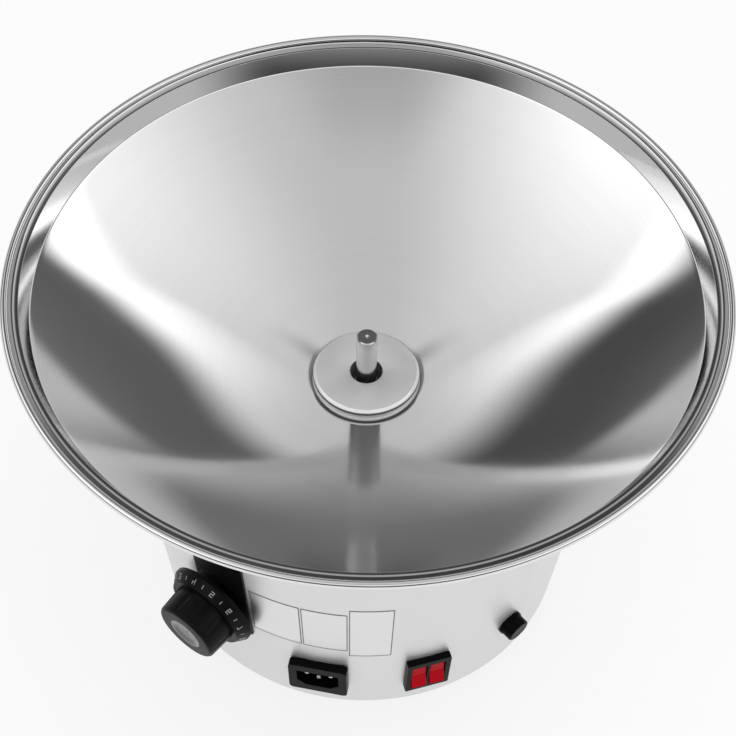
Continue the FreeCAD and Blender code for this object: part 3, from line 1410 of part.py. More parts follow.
def make_knob():
    """Thermostat knob with dial skirt, fluted grip and a bright dished disc."""
    placement = on_wall(S.knob_angle, S.knob_level, (S.dial_sheet + S.knob_stand).number)
    grip_base = S.skirt_height
    hollow = S.grip_radius - S.knob_shell
    hollow_top = S.skirt_height
    body = turned("Knob", [
        (S.spindle_radius, ZERO), (S.knob_boss_radius, ZERO),
        (S.knob_boss_radius, hollow_top), (hollow, hollow_top), (hollow, ZERO),
        (S.skirt_radius, ZERO), (S.skirt_radius, S.skirt_rim),
        (S.skirt_front_radius, grip_base), (S.grip_radius, grip_base),
        (S.grip_end_radius, S.knob_height), (S.cap_radius, S.knob_height),
        (S.cap_radius, S.knob_height - S.cap_height),
        (ZERO, S.knob_height - S.cap_height), (ZERO, S.spindle_reach),
        (S.spindle_radius, S.spindle_reach)])
    soften(body, circle_at(S.grip_end_radius, S.knob_height), S.knob_round)
    flute = circles(body, "XY_Plane", [
        (S.grip_radius + S.flute_radius - S.flute_depth, ZERO, S.flute_radius)])
    flute.AttachmentOffset = Placement(Vector(0, 0, S.knob_height.number), Rotation())
    flute.setExpression("AttachmentOffset.Base.z", S.knob_height.text)
    pocket = extrude(body, flute, S.knob_height - S.skirt_height, pocket=True)
    repeat(body, pocket, S.flute_count)
    keep(at(body, placement), "knob")
    rim = S.cap_dish
    cap_low = S.knob_height - S.cap_height
    dish = turned("KnobCap", [
        (ZERO, cap_low), (S.cap_radius, cap_low), (S.cap_radius, S.knob_height),
        (S.cap_radius * 0.9, S.knob_height), (S.cap_radius * 0.6, S.knob_height - rim * 0.7),
        (ZERO, S.knob_height - rim)])
    keep(at(dish, placement), "knob_disc")
    back = S.dial_sheet + S.knob_stand
    end = -(back + S.thermostat_set)
    spindle = rod("Spindle", S.spindle_radius, end, S.spindle_reach)
    keep(at(spindle, placement), "thermostat_spindle")

    flat = on_wall(S.knob_angle, S.knob_level)
    neck = rod("Neck", S.neck_radius, -S.thermostat_set, S.dial_sheet + S.knob_stand / 3)
    box = block(S.thermostat_width, S.thermostat_height, S.thermostat_depth,
                -(S.thermostat_set + S.thermostat_depth))
    bore = cylinder(S.spindle_radius + S.running_clearance, CUT_REACH,
                    -(S.thermostat_set + S.slot_gap))
    thermostat = cut(fuse(box, neck), bore)
    keep(at(thermostat, flat), "thermostat")


def make_dial_plate():
    """Black plate behind the knob, rolled to the drum's wall."""
    half = math.degrees(S.dial_width.number / 2.0 / drum_radius(S.knob_level).number)
    shift = math.degrees(S.dial_shift.number / drum_radius(S.knob_level).number)
    low = S.dial_bottom
    high = S.dial_top
    body = new_body("DialPlate")
    face = S.dial_glue + S.dial_sheet
    profile = outline(body, "XZ_Plane", [
        (drum_radius(low) + S.dial_glue, low), (drum_radius(low) + face, low),
        (drum_radius(high) + face, high), (drum_radius(high) + S.dial_glue, high)])
    revolve(body, profile, as_size(half * 2.0))
    place(body, turn=S.knob_angle.number - 90.0 + shift - half)
    hole = cylinder(S.neck_radius + S.panel_gap, CUT_REACH, -(CUT_REACH / 2))
    through_wall(hole, S.knob_angle, S.knob_level)
    keep(cut(body, hole), "dial_plate")


def make_terminal_block():
    """Terminal block on the base plate, with a screw well and a wire way per pole."""
    body = new_body("TerminalBlock")
    foot = outline(body, "XY_Plane", rectangle(S.block_length, S.block_width))
    extrude(body, foot, S.block_height)
    count = int(round(S.block_poles.number))
    pitch = S.block_length / count
    wells = [(pitch * (i - (count - 1) / 2.0), ZERO, S.screw_head_radius * 0.8)
             for i in range(count)]
    sketch = circles(body, "XY_Plane", wells)
    sketch.AttachmentOffset = Placement(Vector(0, 0, S.block_height.number), Rotation())
    sketch.setExpression("AttachmentOffset.Base.z", S.block_height.text)
    extrude(body, sketch, S.block_height / 2, pocket=True)
    ways = [(x, S.block_height / 2, S.screw_radius) for x, _, _ in wells]
    extrude(body, circles(body, "XZ_Plane", ways), S.block_width * 2, pocket=True, middle=True)
    keep(place(body, ZERO, S.block_y, plate_top), "terminal_block")


def wall_spot(azimuth, level, x, y, z):
    """Point and inward direction behind the wall, in the frame of a control."""
    frame = on_wall(azimuth, level)
    return frame.multVec(Vector(x, y, z)), frame.Rotation.multVec(Vector(0, 0, -1))


def on_axis(angle, radius, z):
    """Point at a direction in degrees from +X, a radius and a height."""
    turn = math.radians(angle)
    return Vector(radius * math.cos(turn), radius * math.sin(turn), z)


def make_wiring():
    """Wires from the inlet to fuse, switch, terminals, motor, thermostat and heater."""
    gap = S.wire_gap.number
    down = Vector(0, 0, -1)
    up = Vector(0, 0, 1)
    back = Vector(0, 1, 0)
    front = Vector(0, -1, 0)
    blade_end = -(S.inlet_body_depth + S.blade_tail).number - gap
    tab_end = -(S.switch_body_depth + S.tab_length).number - gap
    pitch = S.blade_pitch.number
    shift = ((S.rocker_width + S.rocker_gap * 2 + S.rocker_bar) / 2).number
    way_z = (plate_top + S.block_height / 2).number
    way = (S.block_length / S.block_poles).number
    face_y = S.block_width.number / 2.0
    block_y = S.block_y.number

    def way_front(index):
        return Vector(way * index, block_y - face_y + 3.0, way_z)

    def way_back(index):
        return Vector(way * index, block_y + face_y - 3.0, way_z)

    live, live_in = wall_spot(S.inlet_angle, S.inlet_level, pitch, S.blade_offset.number,
                              blade_end)
    neutral, neutral_in = wall_spot(S.inlet_angle, S.inlet_level, -pitch,
                                    S.blade_offset.number, blade_end)
    earth, earth_in = wall_spot(S.inlet_angle, S.inlet_level, 0.0, -S.blade_offset.number,
                                blade_end)
    fuse_end, fuse_in = wall_spot(S.fuse_angle, S.fuse_level, 0.0, 0.0,
                                  -S.fuse_barrel_length.number - gap)
    row = S.well_length.number * 0.3
    tabs = [wall_spot(S.switch_angle, S.switch_level, shift * side, row * line, tab_end)
            for side, line in ((-1, 1), (-1, -1), (1, 1), (1, -1))]
    fuse_side = on_wall(S.fuse_angle, S.fuse_level).multVec(
        Vector(0, -S.fuse_barrel_radius.number - gap, -S.fuse_barrel_length.number + 8.0))
    under_fuse = on_wall(S.fuse_angle, S.fuse_level).Rotation.multVec(Vector(0, -1, 0))
    pieces = []

    def add(*points):
        pieces.append(wire(points, S.wire_radius.number))

    add(live, live + live_in * 10.0, on_axis(-66.0, 80.0, 52.0), fuse_end + fuse_in * 8.0,
        fuse_end)
    spot, inward = tabs[3]
    add(fuse_side, fuse_side + under_fuse * 9.0, on_axis(-60.0, 82.0, 34.0),
        spot + inward * 10.0, spot)
    add(neutral, neutral + neutral_in * 8.0, Vector(-24.0, -90.0, 32.0),
        way_front(-1.5) + front * 12.0, way_front(-1.5))
    spot, inward = tabs[1]
    add(spot, spot + inward * 8.0, Vector(4.0, -90.0, 30.0), way_front(-0.5) + front * 12.0,
        way_front(-0.5))
    spot, inward = tabs[0]
    add(spot, spot + inward * 10.0, Vector(14.0, -84.0, 38.0), way_front(0.5) + front * 12.0,
        way_front(0.5))
    add(earth, earth + earth_in * 8.0, Vector(-9.0, -93.0, 27.0),
        Vector(-9.0, -101.0, plate_top.number + 13.0),
        Vector(-9.0, -101.0, plate_top.number + gap))
    for side in (-1, 1):
        x = motor_x.number + 6.0 * side
        reach = S.motor_radius.number ** 2 - (6.0 - S.wire_radius.number) ** 2
        y = motor_y.number - math.sqrt(reach) - gap
        add(way_back(0.5 * side), way_back(0.5 * side) + back * 16.0,
            Vector(x, y - 12.0, way_z + 12.0), Vector(x, y, way_z + 12.0))
    cutout = under_dish(S.cutout_circle, S.cutout_angle.number, S.heater_gap.number)
    tab_top = (S.cutout_height + S.tab_length).number + gap
    lugs = [cutout.multVec(Vector(0, S.cutout_radius.number * 0.5 * side, tab_top))
            for side in (-1, 1)]
    lugs.sort(key=lambda lug: lug.x)
    away = cutout.Rotation.multVec(Vector(0, 0, 1))
    start = 90.0 + (360.0 - S.heater_span.number) / 2.0
    level = underside(S.heater_circle, S.heater_radius + S.heater_gap)
    leg_end = (level - S.heater_leg).number - gap
    legs = [on_axis(start + turn, S.heater_circle.number, leg_end)
            for turn in (0.0, S.heater_span.number)]
    add(way_front(1.5), way_front(1.5) + front * 12.0, on_axis(-60.0, 108.0, 30.0),
        on_axis(-40.0, 108.0, 32.0), on_axis(-14.0, 104.0, 60.0), on_axis(10.0, 96.0, 110.0),
        lugs[1] + away * 16.0, lugs[1])
    add(lugs[0], lugs[0] + away * 14.0, legs[1] + down * 18.0, legs[1])
    box_low = -(S.thermostat_height.number / 2.0) - gap
    deep = -(S.thermostat_set + S.thermostat_depth / 2).number
    wall = on_wall(S.knob_angle, S.knob_level)
    below = wall.Rotation.multVec(Vector(0, -1, 0))
    first, second = (wall.multVec(Vector(x, box_low, deep)) for x in (8.0, -8.0))
    add(way_back(-1.5), way_back(-1.5) + back * 12.0, Vector(-44.0, -62.0, 36.0),
        first + below * 14.0, first)
    add(second, second + below * 12.0, on_axis(-160.0, 104.0, 56.0),
        on_axis(150.0, 104.0, 84.0), legs[0] + down * 26.0, legs[0])
    obj = doc.addObject("Part::Feature", "Wiring")
    obj.Shape = Part.Compound(pieces)
    keep(obj, "wiring")


make_bowl()
make_hub()
make_drum()
make_support_ring()
make_bowl_studs()
make_base_plate()
make_base_screws()
make_feet()
make_gears()
make_gearbox()
make_carrier()
make_motor()
make_shafts()
make_heater()
make_clamps()
make_cutout()
make_bulb()
make_inlet()
make_switch()
make_fuse()
make_knob()
make_dial_plate()
make_terminal_block()
make_wiring()
doc.recompute()

for obj in doc.Objects:
    for state in ("Invalid", "Error"):
        if state in obj.State:
            raise RuntimeError("%s (%s) is %s" % (obj.Name, obj.Label, state))
for obj in parts:
    if obj.Shape.isNull() or not obj.Shape.isValid():
        raise RuntimeError("%s has no valid shape" % obj.Label)

os.makedirs("parts", exist_ok=True)
for obj in parts:
    obj.Shape.exportStep("parts/%s.step" % obj.Label)
    print("%-20s %d solids %10.1f mm3" % (obj.Label, len(obj.Shape.Solids), obj.Shape.Volume))
print(len(parts), "sub-parts")
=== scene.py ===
import math

import bpy
import numpy as np
from bpy.props import FloatProperty, FloatVectorProperty, IntProperty, PointerProperty
from mathutils import Euler, Matrix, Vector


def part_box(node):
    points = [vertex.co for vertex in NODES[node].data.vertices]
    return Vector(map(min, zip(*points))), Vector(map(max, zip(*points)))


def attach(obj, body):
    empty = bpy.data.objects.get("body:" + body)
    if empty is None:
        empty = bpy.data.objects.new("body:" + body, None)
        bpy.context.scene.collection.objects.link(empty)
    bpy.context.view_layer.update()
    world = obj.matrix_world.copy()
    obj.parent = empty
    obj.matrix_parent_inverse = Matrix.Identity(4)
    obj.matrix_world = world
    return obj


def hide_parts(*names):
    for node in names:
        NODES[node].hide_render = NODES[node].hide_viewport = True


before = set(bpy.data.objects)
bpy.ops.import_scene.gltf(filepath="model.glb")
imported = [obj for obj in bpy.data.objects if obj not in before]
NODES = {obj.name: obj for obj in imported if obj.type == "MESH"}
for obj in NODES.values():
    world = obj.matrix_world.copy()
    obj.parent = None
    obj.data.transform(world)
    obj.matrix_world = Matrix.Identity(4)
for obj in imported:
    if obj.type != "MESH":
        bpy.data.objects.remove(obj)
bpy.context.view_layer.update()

bl_info = {
    "name": "Chocolate fountain dressing",
    "version": (1, 0, 0),
    "blender": (4, 5, 0),
    "location": "View3D > Sidebar > Fountain",
    "description": "Smooth metal, controls, dial figures and studio for a chocolate fountain",
    "category": "Object",
}


# Settings

class FOUNTAIN_PG_bowl(bpy.types.PropertyGroup):
    """Sizes of the spun bowl."""

    rim_radius: FloatProperty(
        name="Rim radius", description="Outside of the rolled rim", default=0.195,
        unit="LENGTH")
    rim_height: FloatProperty(
        name="Rim height", description="Centre of the rolled rim above the floor",
        default=0.246, unit="LENGTH")
    bead_radius: FloatProperty(
        name="Bead radius", description="Rolled edge", default=0.0022, unit="LENGTH")
    depth: FloatProperty(
        name="Depth", description="Rim centre down to the bowl floor", default=0.0815,
        unit="LENGTH")
    seat_radius: FloatProperty(
        name="Seat radius", description="Flat middle of the bowl", default=0.0315,
        unit="LENGTH")
    sheet: FloatProperty(
        name="Sheet", description="Thickness of the sheet", default=0.0015, unit="LENGTH")
    curve: FloatProperty(
        name="Curve", description="Radius of the dish's curved profile", default=0.450,
        unit="LENGTH")
    segments: IntProperty(
        name="Segments", description="Steps round the axis", default=360)
    ring_relief: FloatProperty(
        name="Ring relief", description="Depth of the spinning rings in the shading",
        default=0.006)


class FOUNTAIN_PG_drum(bpy.types.PropertyGroup):
    """Sizes of the drum."""

    foot_gap: FloatProperty(
        name="Foot gap", description="Floor to the drum's lower edge", default=0.009,
        unit="LENGTH")
    foot_radius: FloatProperty(
        name="Foot radius", description="Outside of the drum at its lower edge",
        default=0.121, unit="LENGTH")
    top_radius: FloatProperty(
        name="Top radius", description="Outside of the drum under the bowl",
        default=0.142, unit="LENGTH")
    sheet: FloatProperty(
        name="Sheet", description="Thickness of the sheet", default=0.0012, unit="LENGTH")
    edge_radius: FloatProperty(
        name="Edge radius", description="Rounded lower edge", default=0.0025,
        unit="LENGTH")
    flange: FloatProperty(
        name="Flange", description="Inward flange at the lower edge", default=0.015,
        unit="LENGTH")


class FOUNTAIN_PG_dial(bpy.types.PropertyGroup):
    """Figures on the knob's skirt."""

    figures: IntProperty(
        name="Figures", description="Number of figures round the skirt", default=10)
    figure_size: FloatProperty(
        name="Figure size", description="Height of a figure", default=0.0028,
        unit="LENGTH")


class FOUNTAIN_PG_colours(bpy.types.PropertyGroup):
    """Colours of the pieces that show."""

    bowl: FloatVectorProperty(
        name="Bowl", description="Spun steel of the bowl", default=(0.80, 0.80, 0.805),
        subtype="COLOR")
    drum: FloatVectorProperty(
        name="Drum", description="Satin steel of the drum", default=(0.88, 0.88, 0.885),
        subtype="COLOR")
    rockers: FloatVectorProperty(
        name="Rockers", description="Red of the two rockers", default=(0.62, 0.003, 0.012),
        subtype="COLOR")
    mouldings: FloatVectorProperty(
        name="Mouldings", description="Black of the inlet, the switch and the fuse holder",
        default=(0.004, 0.004, 0.005), subtype="COLOR")
    knob: FloatVectorProperty(
        name="Knob", description="Black of the knob", default=(0.006, 0.006, 0.007),
        subtype="COLOR")
    figures: FloatVectorProperty(
        name="Figures", description="Ink of the dial's figures", default=(0.5, 0.5, 0.49),
        subtype="COLOR")


class FOUNTAIN_PG_studio(bpy.types.PropertyGroup):
    """Light of the studio."""

    lamp: FloatProperty(
        name="Lamp", description="Power of the large lamp above, in watts", default=9.0)
    fill: FloatProperty(
        name="Fill", description="Even light from all sides", default=0.75)
    shade: FloatProperty(
        name="Floor shade", description="How much of the floor's shading shows",
        default=0.3)


def settings(part):
    """Property group of one part of the scene."""
    return getattr(bpy.context.scene, "fountain_" + part)


# Surfaces

def new_mesh(name, points, faces, smooth=True):
    """Mesh object from an (N, 3) array of points and an (M, k) array of corners."""
    points = np.asarray(points, dtype=np.float64)
    faces = np.asarray(faces, dtype=np.int32)
    mesh = bpy.data.meshes.new(name)
    mesh.vertices.add(len(points))
    mesh.vertices.foreach_set("co", points.ravel())
    mesh.loops.add(faces.size)
    mesh.loops.foreach_set("vertex_index", faces.ravel())
    mesh.polygons.add(len(faces))
    mesh.polygons.foreach_set("loop_start", np.arange(len(faces)) * faces.shape[1])
    mesh.polygons.foreach_set("loop_total", np.full(len(faces), faces.shape[1]))
    mesh.polygons.foreach_set("use_smooth", np.full(len(faces), smooth))
    mesh.update()
    mesh.validate()
    obj = bpy.data.objects.new(name, mesh)
    bpy.context.scene.collection.objects.link(obj)
    return obj


def grid_faces(rows, columns, around=False, keep=None):
    """Four corners per cell of a grid; the last column joins the first if around."""
    i, j = np.meshgrid(np.arange(rows - 1), np.arange(columns - (0 if around else 1)),
                       indexing="ij")
    right = (j + 1) % columns
    faces = np.stack([i * columns + j, i * columns + right,
                      (i + 1) * columns + right, (i + 1) * columns + j], axis=-1)
    faces = faces.reshape(-1, 4)
    return faces if keep is None else faces[keep.ravel()]


def lathe(name, profile, segments):
    """Turned surface: P(i, j) = (r_i cos a_j, r_i sin a_j, z_i), a_j = 2 pi j / n.

    The profile runs so that the outside lies to its right.
    """
    profile = np.asarray(profile, dtype=np.float64)
    angle = 2.0 * np.pi * np.arange(segments) / segments
    x = profile[:, :1] * np.cos(angle)
    y = profile[:, :1] * np.sin(angle)
    z = np.repeat(profile[:, 1:], segments, axis=1)
    points = np.stack([x, y, z], axis=-1).reshape(-1, 3)
    return new_mesh(name, points, grid_faces(len(profile), segments, around=True))


def corner(before, at, after, radius, steps=8):
    """Arc of a radius tangent to both legs of a corner: c + R (cos t, sin t)."""
    before, at, after = (np.asarray(p, dtype=np.float64) for p in (before, at, after))
    u = (before - at) / np.linalg.norm(before - at)
    v = (after - at) / np.linalg.norm(after - at)
    half = 0.5 * np.arccos(np.clip(u @ v, -1.0, 1.0))
    reach = radius / np.tan(half)
    bisector = (u + v) / np.linalg.norm(u + v)
    centre = at + bisector * radius / np.sin(half)
    start = at + u * reach - centre
    end = at + v * reach - centre
    t = np.linspace(0.0, 1.0, steps)[:, None]
    sweep = np.pi - 2.0 * half
    arc = (np.sin((1 - t) * sweep) * start + np.sin(t * sweep) * end) / np.sin(sweep)
    return centre + arc


def rounded(points, radii, steps):
    """Open profile with each inner corner replaced by its arc; radius 0 keeps it."""
    out = [np.asarray(points[0], dtype=np.float64)[None]]
    for before, at, after, radius in zip(points, points[1:], points[2:], radii[1:-1]):
        if radius > 0:
            out.append(corner(before, at, after, radius, steps))
        else:
            out.append(np.asarray(at, dtype=np.float64)[None])
    out.append(np.asarray(points[-1], dtype=np.float64)[None])
    return np.vstack(out)


def join(name, objects):
    """One object made of several with four-cornered faces, left at the origin."""
    points, faces = [], []
    start = 0
    for obj in objects:
        mesh = obj.data
        xyz = np.empty(len(mesh.vertices) * 3)
        mesh.vertices.foreach_get("co", xyz)
        corners = np.empty(len(mesh.loops), dtype=np.int32)
        mesh.loops.foreach_get("vertex_index", corners)
        points.append(xyz.reshape(-1, 3))
        faces.append(corners.reshape(-1, 4) + start)
        start += len(mesh.vertices)
        bpy.data.objects.remove(obj)
    return new_mesh(name, np.vstack(points), np.vstack(faces))


# The bowl's profile, in metres

LEDGE_DROP = 0.0007
LEDGE_WIDTH = 0.0053
BAND_WIDTH = 0.0048
BAND_DROP = 0.010
DISH_STEPS = 64
DISH_TRIM = 0.003
BOWL_HOLE = 0.0152
BEAD_TURN = (np.pi * 1.13, -np.pi * 0.77, 30)
INNER_ROUNDING = {"seat": 0.014, "dish": 0.002, "ledge": 0.0003}
UNDER_ROUNDING = {"seat": 0.004, "dish": 0.004, "ledge": 0.0015}
UNDER_LEDGE_STEPS = 6


def bead_centre():
    """Distance of the rolled bead's centre from the axis."""
    b = settings("bowl")
    return b.rim_radius - b.bead_radius


def inner_corners():
    """Corners (r, z) of the bowl's inner side: seat, dish and ledge."""
    b = settings("bowl")
    ledge_z = b.rim_height - LEDGE_DROP
    ledge_r = bead_centre() - b.bead_radius - LEDGE_WIDTH
    seat = np.array([b.seat_radius, b.rim_height - b.depth])
    dish = np.array([ledge_r - BAND_WIDTH, ledge_z - BAND_DROP])
    return seat, dish, np.array([ledge_r, ledge_z])


def arc_centre(low, high, radius):
    """Centre above a chord: middle + n sqrt(R^2 / d^2 - 1/4), n square to the chord."""
    chord = high - low
    reach = math.sqrt(radius ** 2 / (chord @ chord) - 0.25)
    return (low + high) / 2 + reach * np.array([-chord[1], chord[0]])


def outer_corners():
    """Corners of the underside: each inner one moved by sheet / cos of half the bend."""
    b = settings("bowl")
    seat, dish, ledge = inner_corners()
    centre = arc_centre(seat, dish, b.curve)
    slopes = [math.asin((point[0] - centre[0]) / b.curve) for point in (seat, dish)]
    band = math.atan2(ledge[1] - dish[1], ledge[0] - dish[0])
    moved = []
    for point, before, after in ((seat, 0.0, slopes[0]), (dish, slopes[1], band),
                                 (ledge, band, 0.0)):
        middle, half = (before + after) / 2, (after - before) / 2
        step = np.array([math.sin(middle), -math.cos(middle)]) / math.cos(half)
        moved.append(point + step * b.sheet)
    return moved


def dish_arc(low, high, radius):
    """Points of the dish's arc, short of both corners: c + R (cos t, sin t)."""
    centre = arc_centre(low, high, radius)
    ends = [math.atan2(p[1] - centre[1], p[0] - centre[0]) for p in (low, high)]
    trim = DISH_TRIM / radius
    t = np.linspace(ends[0] + trim, ends[1] - trim, DISH_STEPS)
    return centre + radius * np.stack([np.cos(t), np.sin(t)], axis=1)


def bead_profile():
    """Rolled edge, from the ledge over the top and back under: c + R (cos t, sin t)."""
    b = settings("bowl")
    turn = np.linspace(*BEAD_TURN)
    return np.stack([bead_centre() + b.bead_radius * np.cos(turn),
                     b.rim_height + b.bead_radius * np.sin(turn)], axis=1)


def inner_profile(bead):
    """Inner side of the bowl, from the opening in its middle out to the bead."""
    seat, dish, ledge = inner_corners()
    hole = np.array([BOWL_HOLE, seat[1]])
    arc = dish_arc(seat, dish, settings("bowl").curve)
    return np.vstack([[hole], corner(hole, seat, arc[0], INNER_ROUNDING["seat"]), arc,
                      corner(arc[-1], dish, ledge, INNER_ROUNDING["dish"]),
                      corner(dish, ledge, bead[0], INNER_ROUNDING["ledge"])])


def under_profile(bead):
    """Underside of the bowl, from the bead back to the opening in its middle."""
    b = settings("bowl")
    seat, dish, ledge = outer_corners()
    hole = np.array([BOWL_HOLE, seat[1]])
    arc = dish_arc(seat, dish, b.curve + b.sheet)
    return np.vstack([corner(bead[-1], ledge, dish, UNDER_ROUNDING["ledge"],
                             UNDER_LEDGE_STEPS),
                      corner(ledge, dish, arc[-1], UNDER_ROUNDING["dish"]), arc[::-1],
                      corner(arc[0], seat, hole, UNDER_ROUNDING["seat"]), [hole]])


# The drum's wall. Places on it are an azimuth in degrees, 0 to the front, and a height.

KNOB_PLACE = (-38.0, 0.089)
INLET_PLACE = (-10.5, 0.044)
SWITCH_PLACE = (18.0, 0.045)
FUSE_PLACE = (43.3, 0.054)
# Openings behind the controls: place, half the width, half the height, is it round
HOLES = (
    (INLET_PLACE, 0.0138, 0.0103, False),
    (SWITCH_PLACE, 0.0118, 0.0143, False),
    (FUSE_PLACE, 0.0063, 0.0063, True),
    (KNOB_PLACE, 0.0054, 0.0054, True),
)
HOLE_REACH = 0.006
# Heights of the wall's rows: close over the controls, wider above them
CLOSE_ROWS = (0.0145, 0.100, 0.0012)
WIDE_ROWS_START = 0.105
WIDE_ROWS = 22
# Azimuths of the wall's columns: close over the controls, wider behind them
CLOSE_COLUMNS = (-50.0, 50.01, 0.5)
WIDE_COLUMNS = (52.0, 310.0, 2.0)
EDGE_STEPS = 8
FOLD_STEPS = 4


def drum_top():
    """Height where the drum's inner edge meets the bowl's underside."""
    d, b = settings("drum"), settings("bowl")
    low, high, _ = outer_corners()
    radius = b.curve + b.sheet
    centre = arc_centre(low, high, radius)
    inner = d.top_radius - d.sheet
    return centre[1] - math.sqrt(radius ** 2 - (inner - centre[0]) ** 2)


def wall_slope():
    """Widening of the drum per metre of height: (r1 - r0) / (z1 - z0)."""
    d = settings("drum")
    return (d.top_radius - d.foot_radius) / (drum_top() - d.foot_gap)


def wall_radius(z):
    """Outside radius of the drum at a height: r0 + (z - z0) k."""
    d = settings("drum")
    return d.foot_radius + (z - d.foot_gap) * wall_slope()


def wall_frame(azimuth, level):
    """Point and axes on the wall: right, up and straight out. Azimuth 0 faces -Y."""
    a = math.radians(azimuth)
    lean = math.atan(wall_slope())
    right = np.array([math.cos(a), math.sin(a), 0.0])
    flat = np.array([math.sin(a), -math.cos(a), 0.0])
    out = flat * math.cos(lean) - np.array([0.0, 0.0, math.sin(lean)])
    up = np.cross(out, right)
    return flat * wall_radius(level) + np.array([0.0, 0.0, level]), right, up, out


def on_frame(place, points):
    """Points (x, y, z) of a frame on the wall, in the shared frame: o + x r + y u + z n."""
    origin, right, up, out = place
    points = np.asarray(points, dtype=np.float64)
    return origin + points[:, :1] * right + points[:, 1:2] * up + points[:, 2:] * out


def wall_patch(name, azimuth, level, columns, rows, lift):
    """Sheet lying on the wall: angles az_j, heights z_i, radius wall(z_i) + lift."""
    a = np.radians(np.asarray(azimuth))
    z = np.asarray(level)
    azs = np.linspace(a[0], a[1], columns)
    zs = np.linspace(z[0], z[1], rows)
    r = wall_radius(zs)[:, None] + lift
    points = np.stack([r * np.sin(azs), -r * np.cos(azs),
                       np.repeat(zs[:, None], columns, axis=1)], axis=-1)
    return new_mesh(name, points.reshape(-1, 3), grid_faces(rows, columns))


def drum_profile():
    """Section (r, z) of the drum's sheet, round its flange, outside and inside."""
    d = settings("drum")
    flange = d.foot_radius - d.flange
    low, high = d.foot_gap, d.foot_gap + d.sheet
    zs = np.concatenate([np.arange(*CLOSE_ROWS),
                         np.linspace(WIDE_ROWS_START, drum_top(), WIDE_ROWS)])
    outside = np.stack([wall_radius(zs), zs], axis=1)
    inside = np.stack([wall_radius(zs) - d.sheet, zs], axis=1)[::-1]
    edge = rounded([(flange, low), (d.foot_radius, low), tuple(outside[0])],
                   [0, d.edge_radius, 0], EDGE_STEPS)
    fold = rounded([tuple(inside[-1]), (wall_radius(high) - d.sheet, high), (flange, high)],
                   [0, d.edge_radius - d.sheet, 0], FOLD_STEPS)
    return np.vstack([edge[:-1], outside, inside, fold[1:], edge[:1]])


def drum_points(profile):
    """Grid of the drum: P(i, j) = (r_i sin a_j, -r_i cos a_j, z_i)."""
    azimuth = np.radians(np.concatenate([np.arange(*CLOSE_COLUMNS),
                                         np.arange(*WIDE_COLUMNS)]))
    r = profile[:, :1]
    return np.stack([r * np.sin(azimuth), -r * np.cos(azimuth),
                     np.repeat(profile[:, 1:], len(azimuth), axis=1)], axis=-1)


def cells_kept(points):
    """Which cells of the drum's grid lie outside every opening, by their centres."""
    beside = np.roll(points, -1, axis=1)
    centre = 0.25 * (points[:-1] + points[1:] + beside[:-1] + beside[1:])
    keep = np.ones(centre.shape[:2], dtype=bool)
    for place, half_width, half_height, is_round in HOLES:
        origin, right, up, out = wall_frame(*place)
        x = (centre - origin) @ right
        y = (centre - origin) @ up
        near = np.abs((centre - origin) @ out) < HOLE_REACH
        if is_round:
            inside = (x / half_width) ** 2 + (y / half_height) ** 2 < 1.0
        else:
            inside = (np.abs(x) < half_width) & (np.abs(y) < half_height)
        keep &= ~(near & inside)
    return keep


# Shader helpers

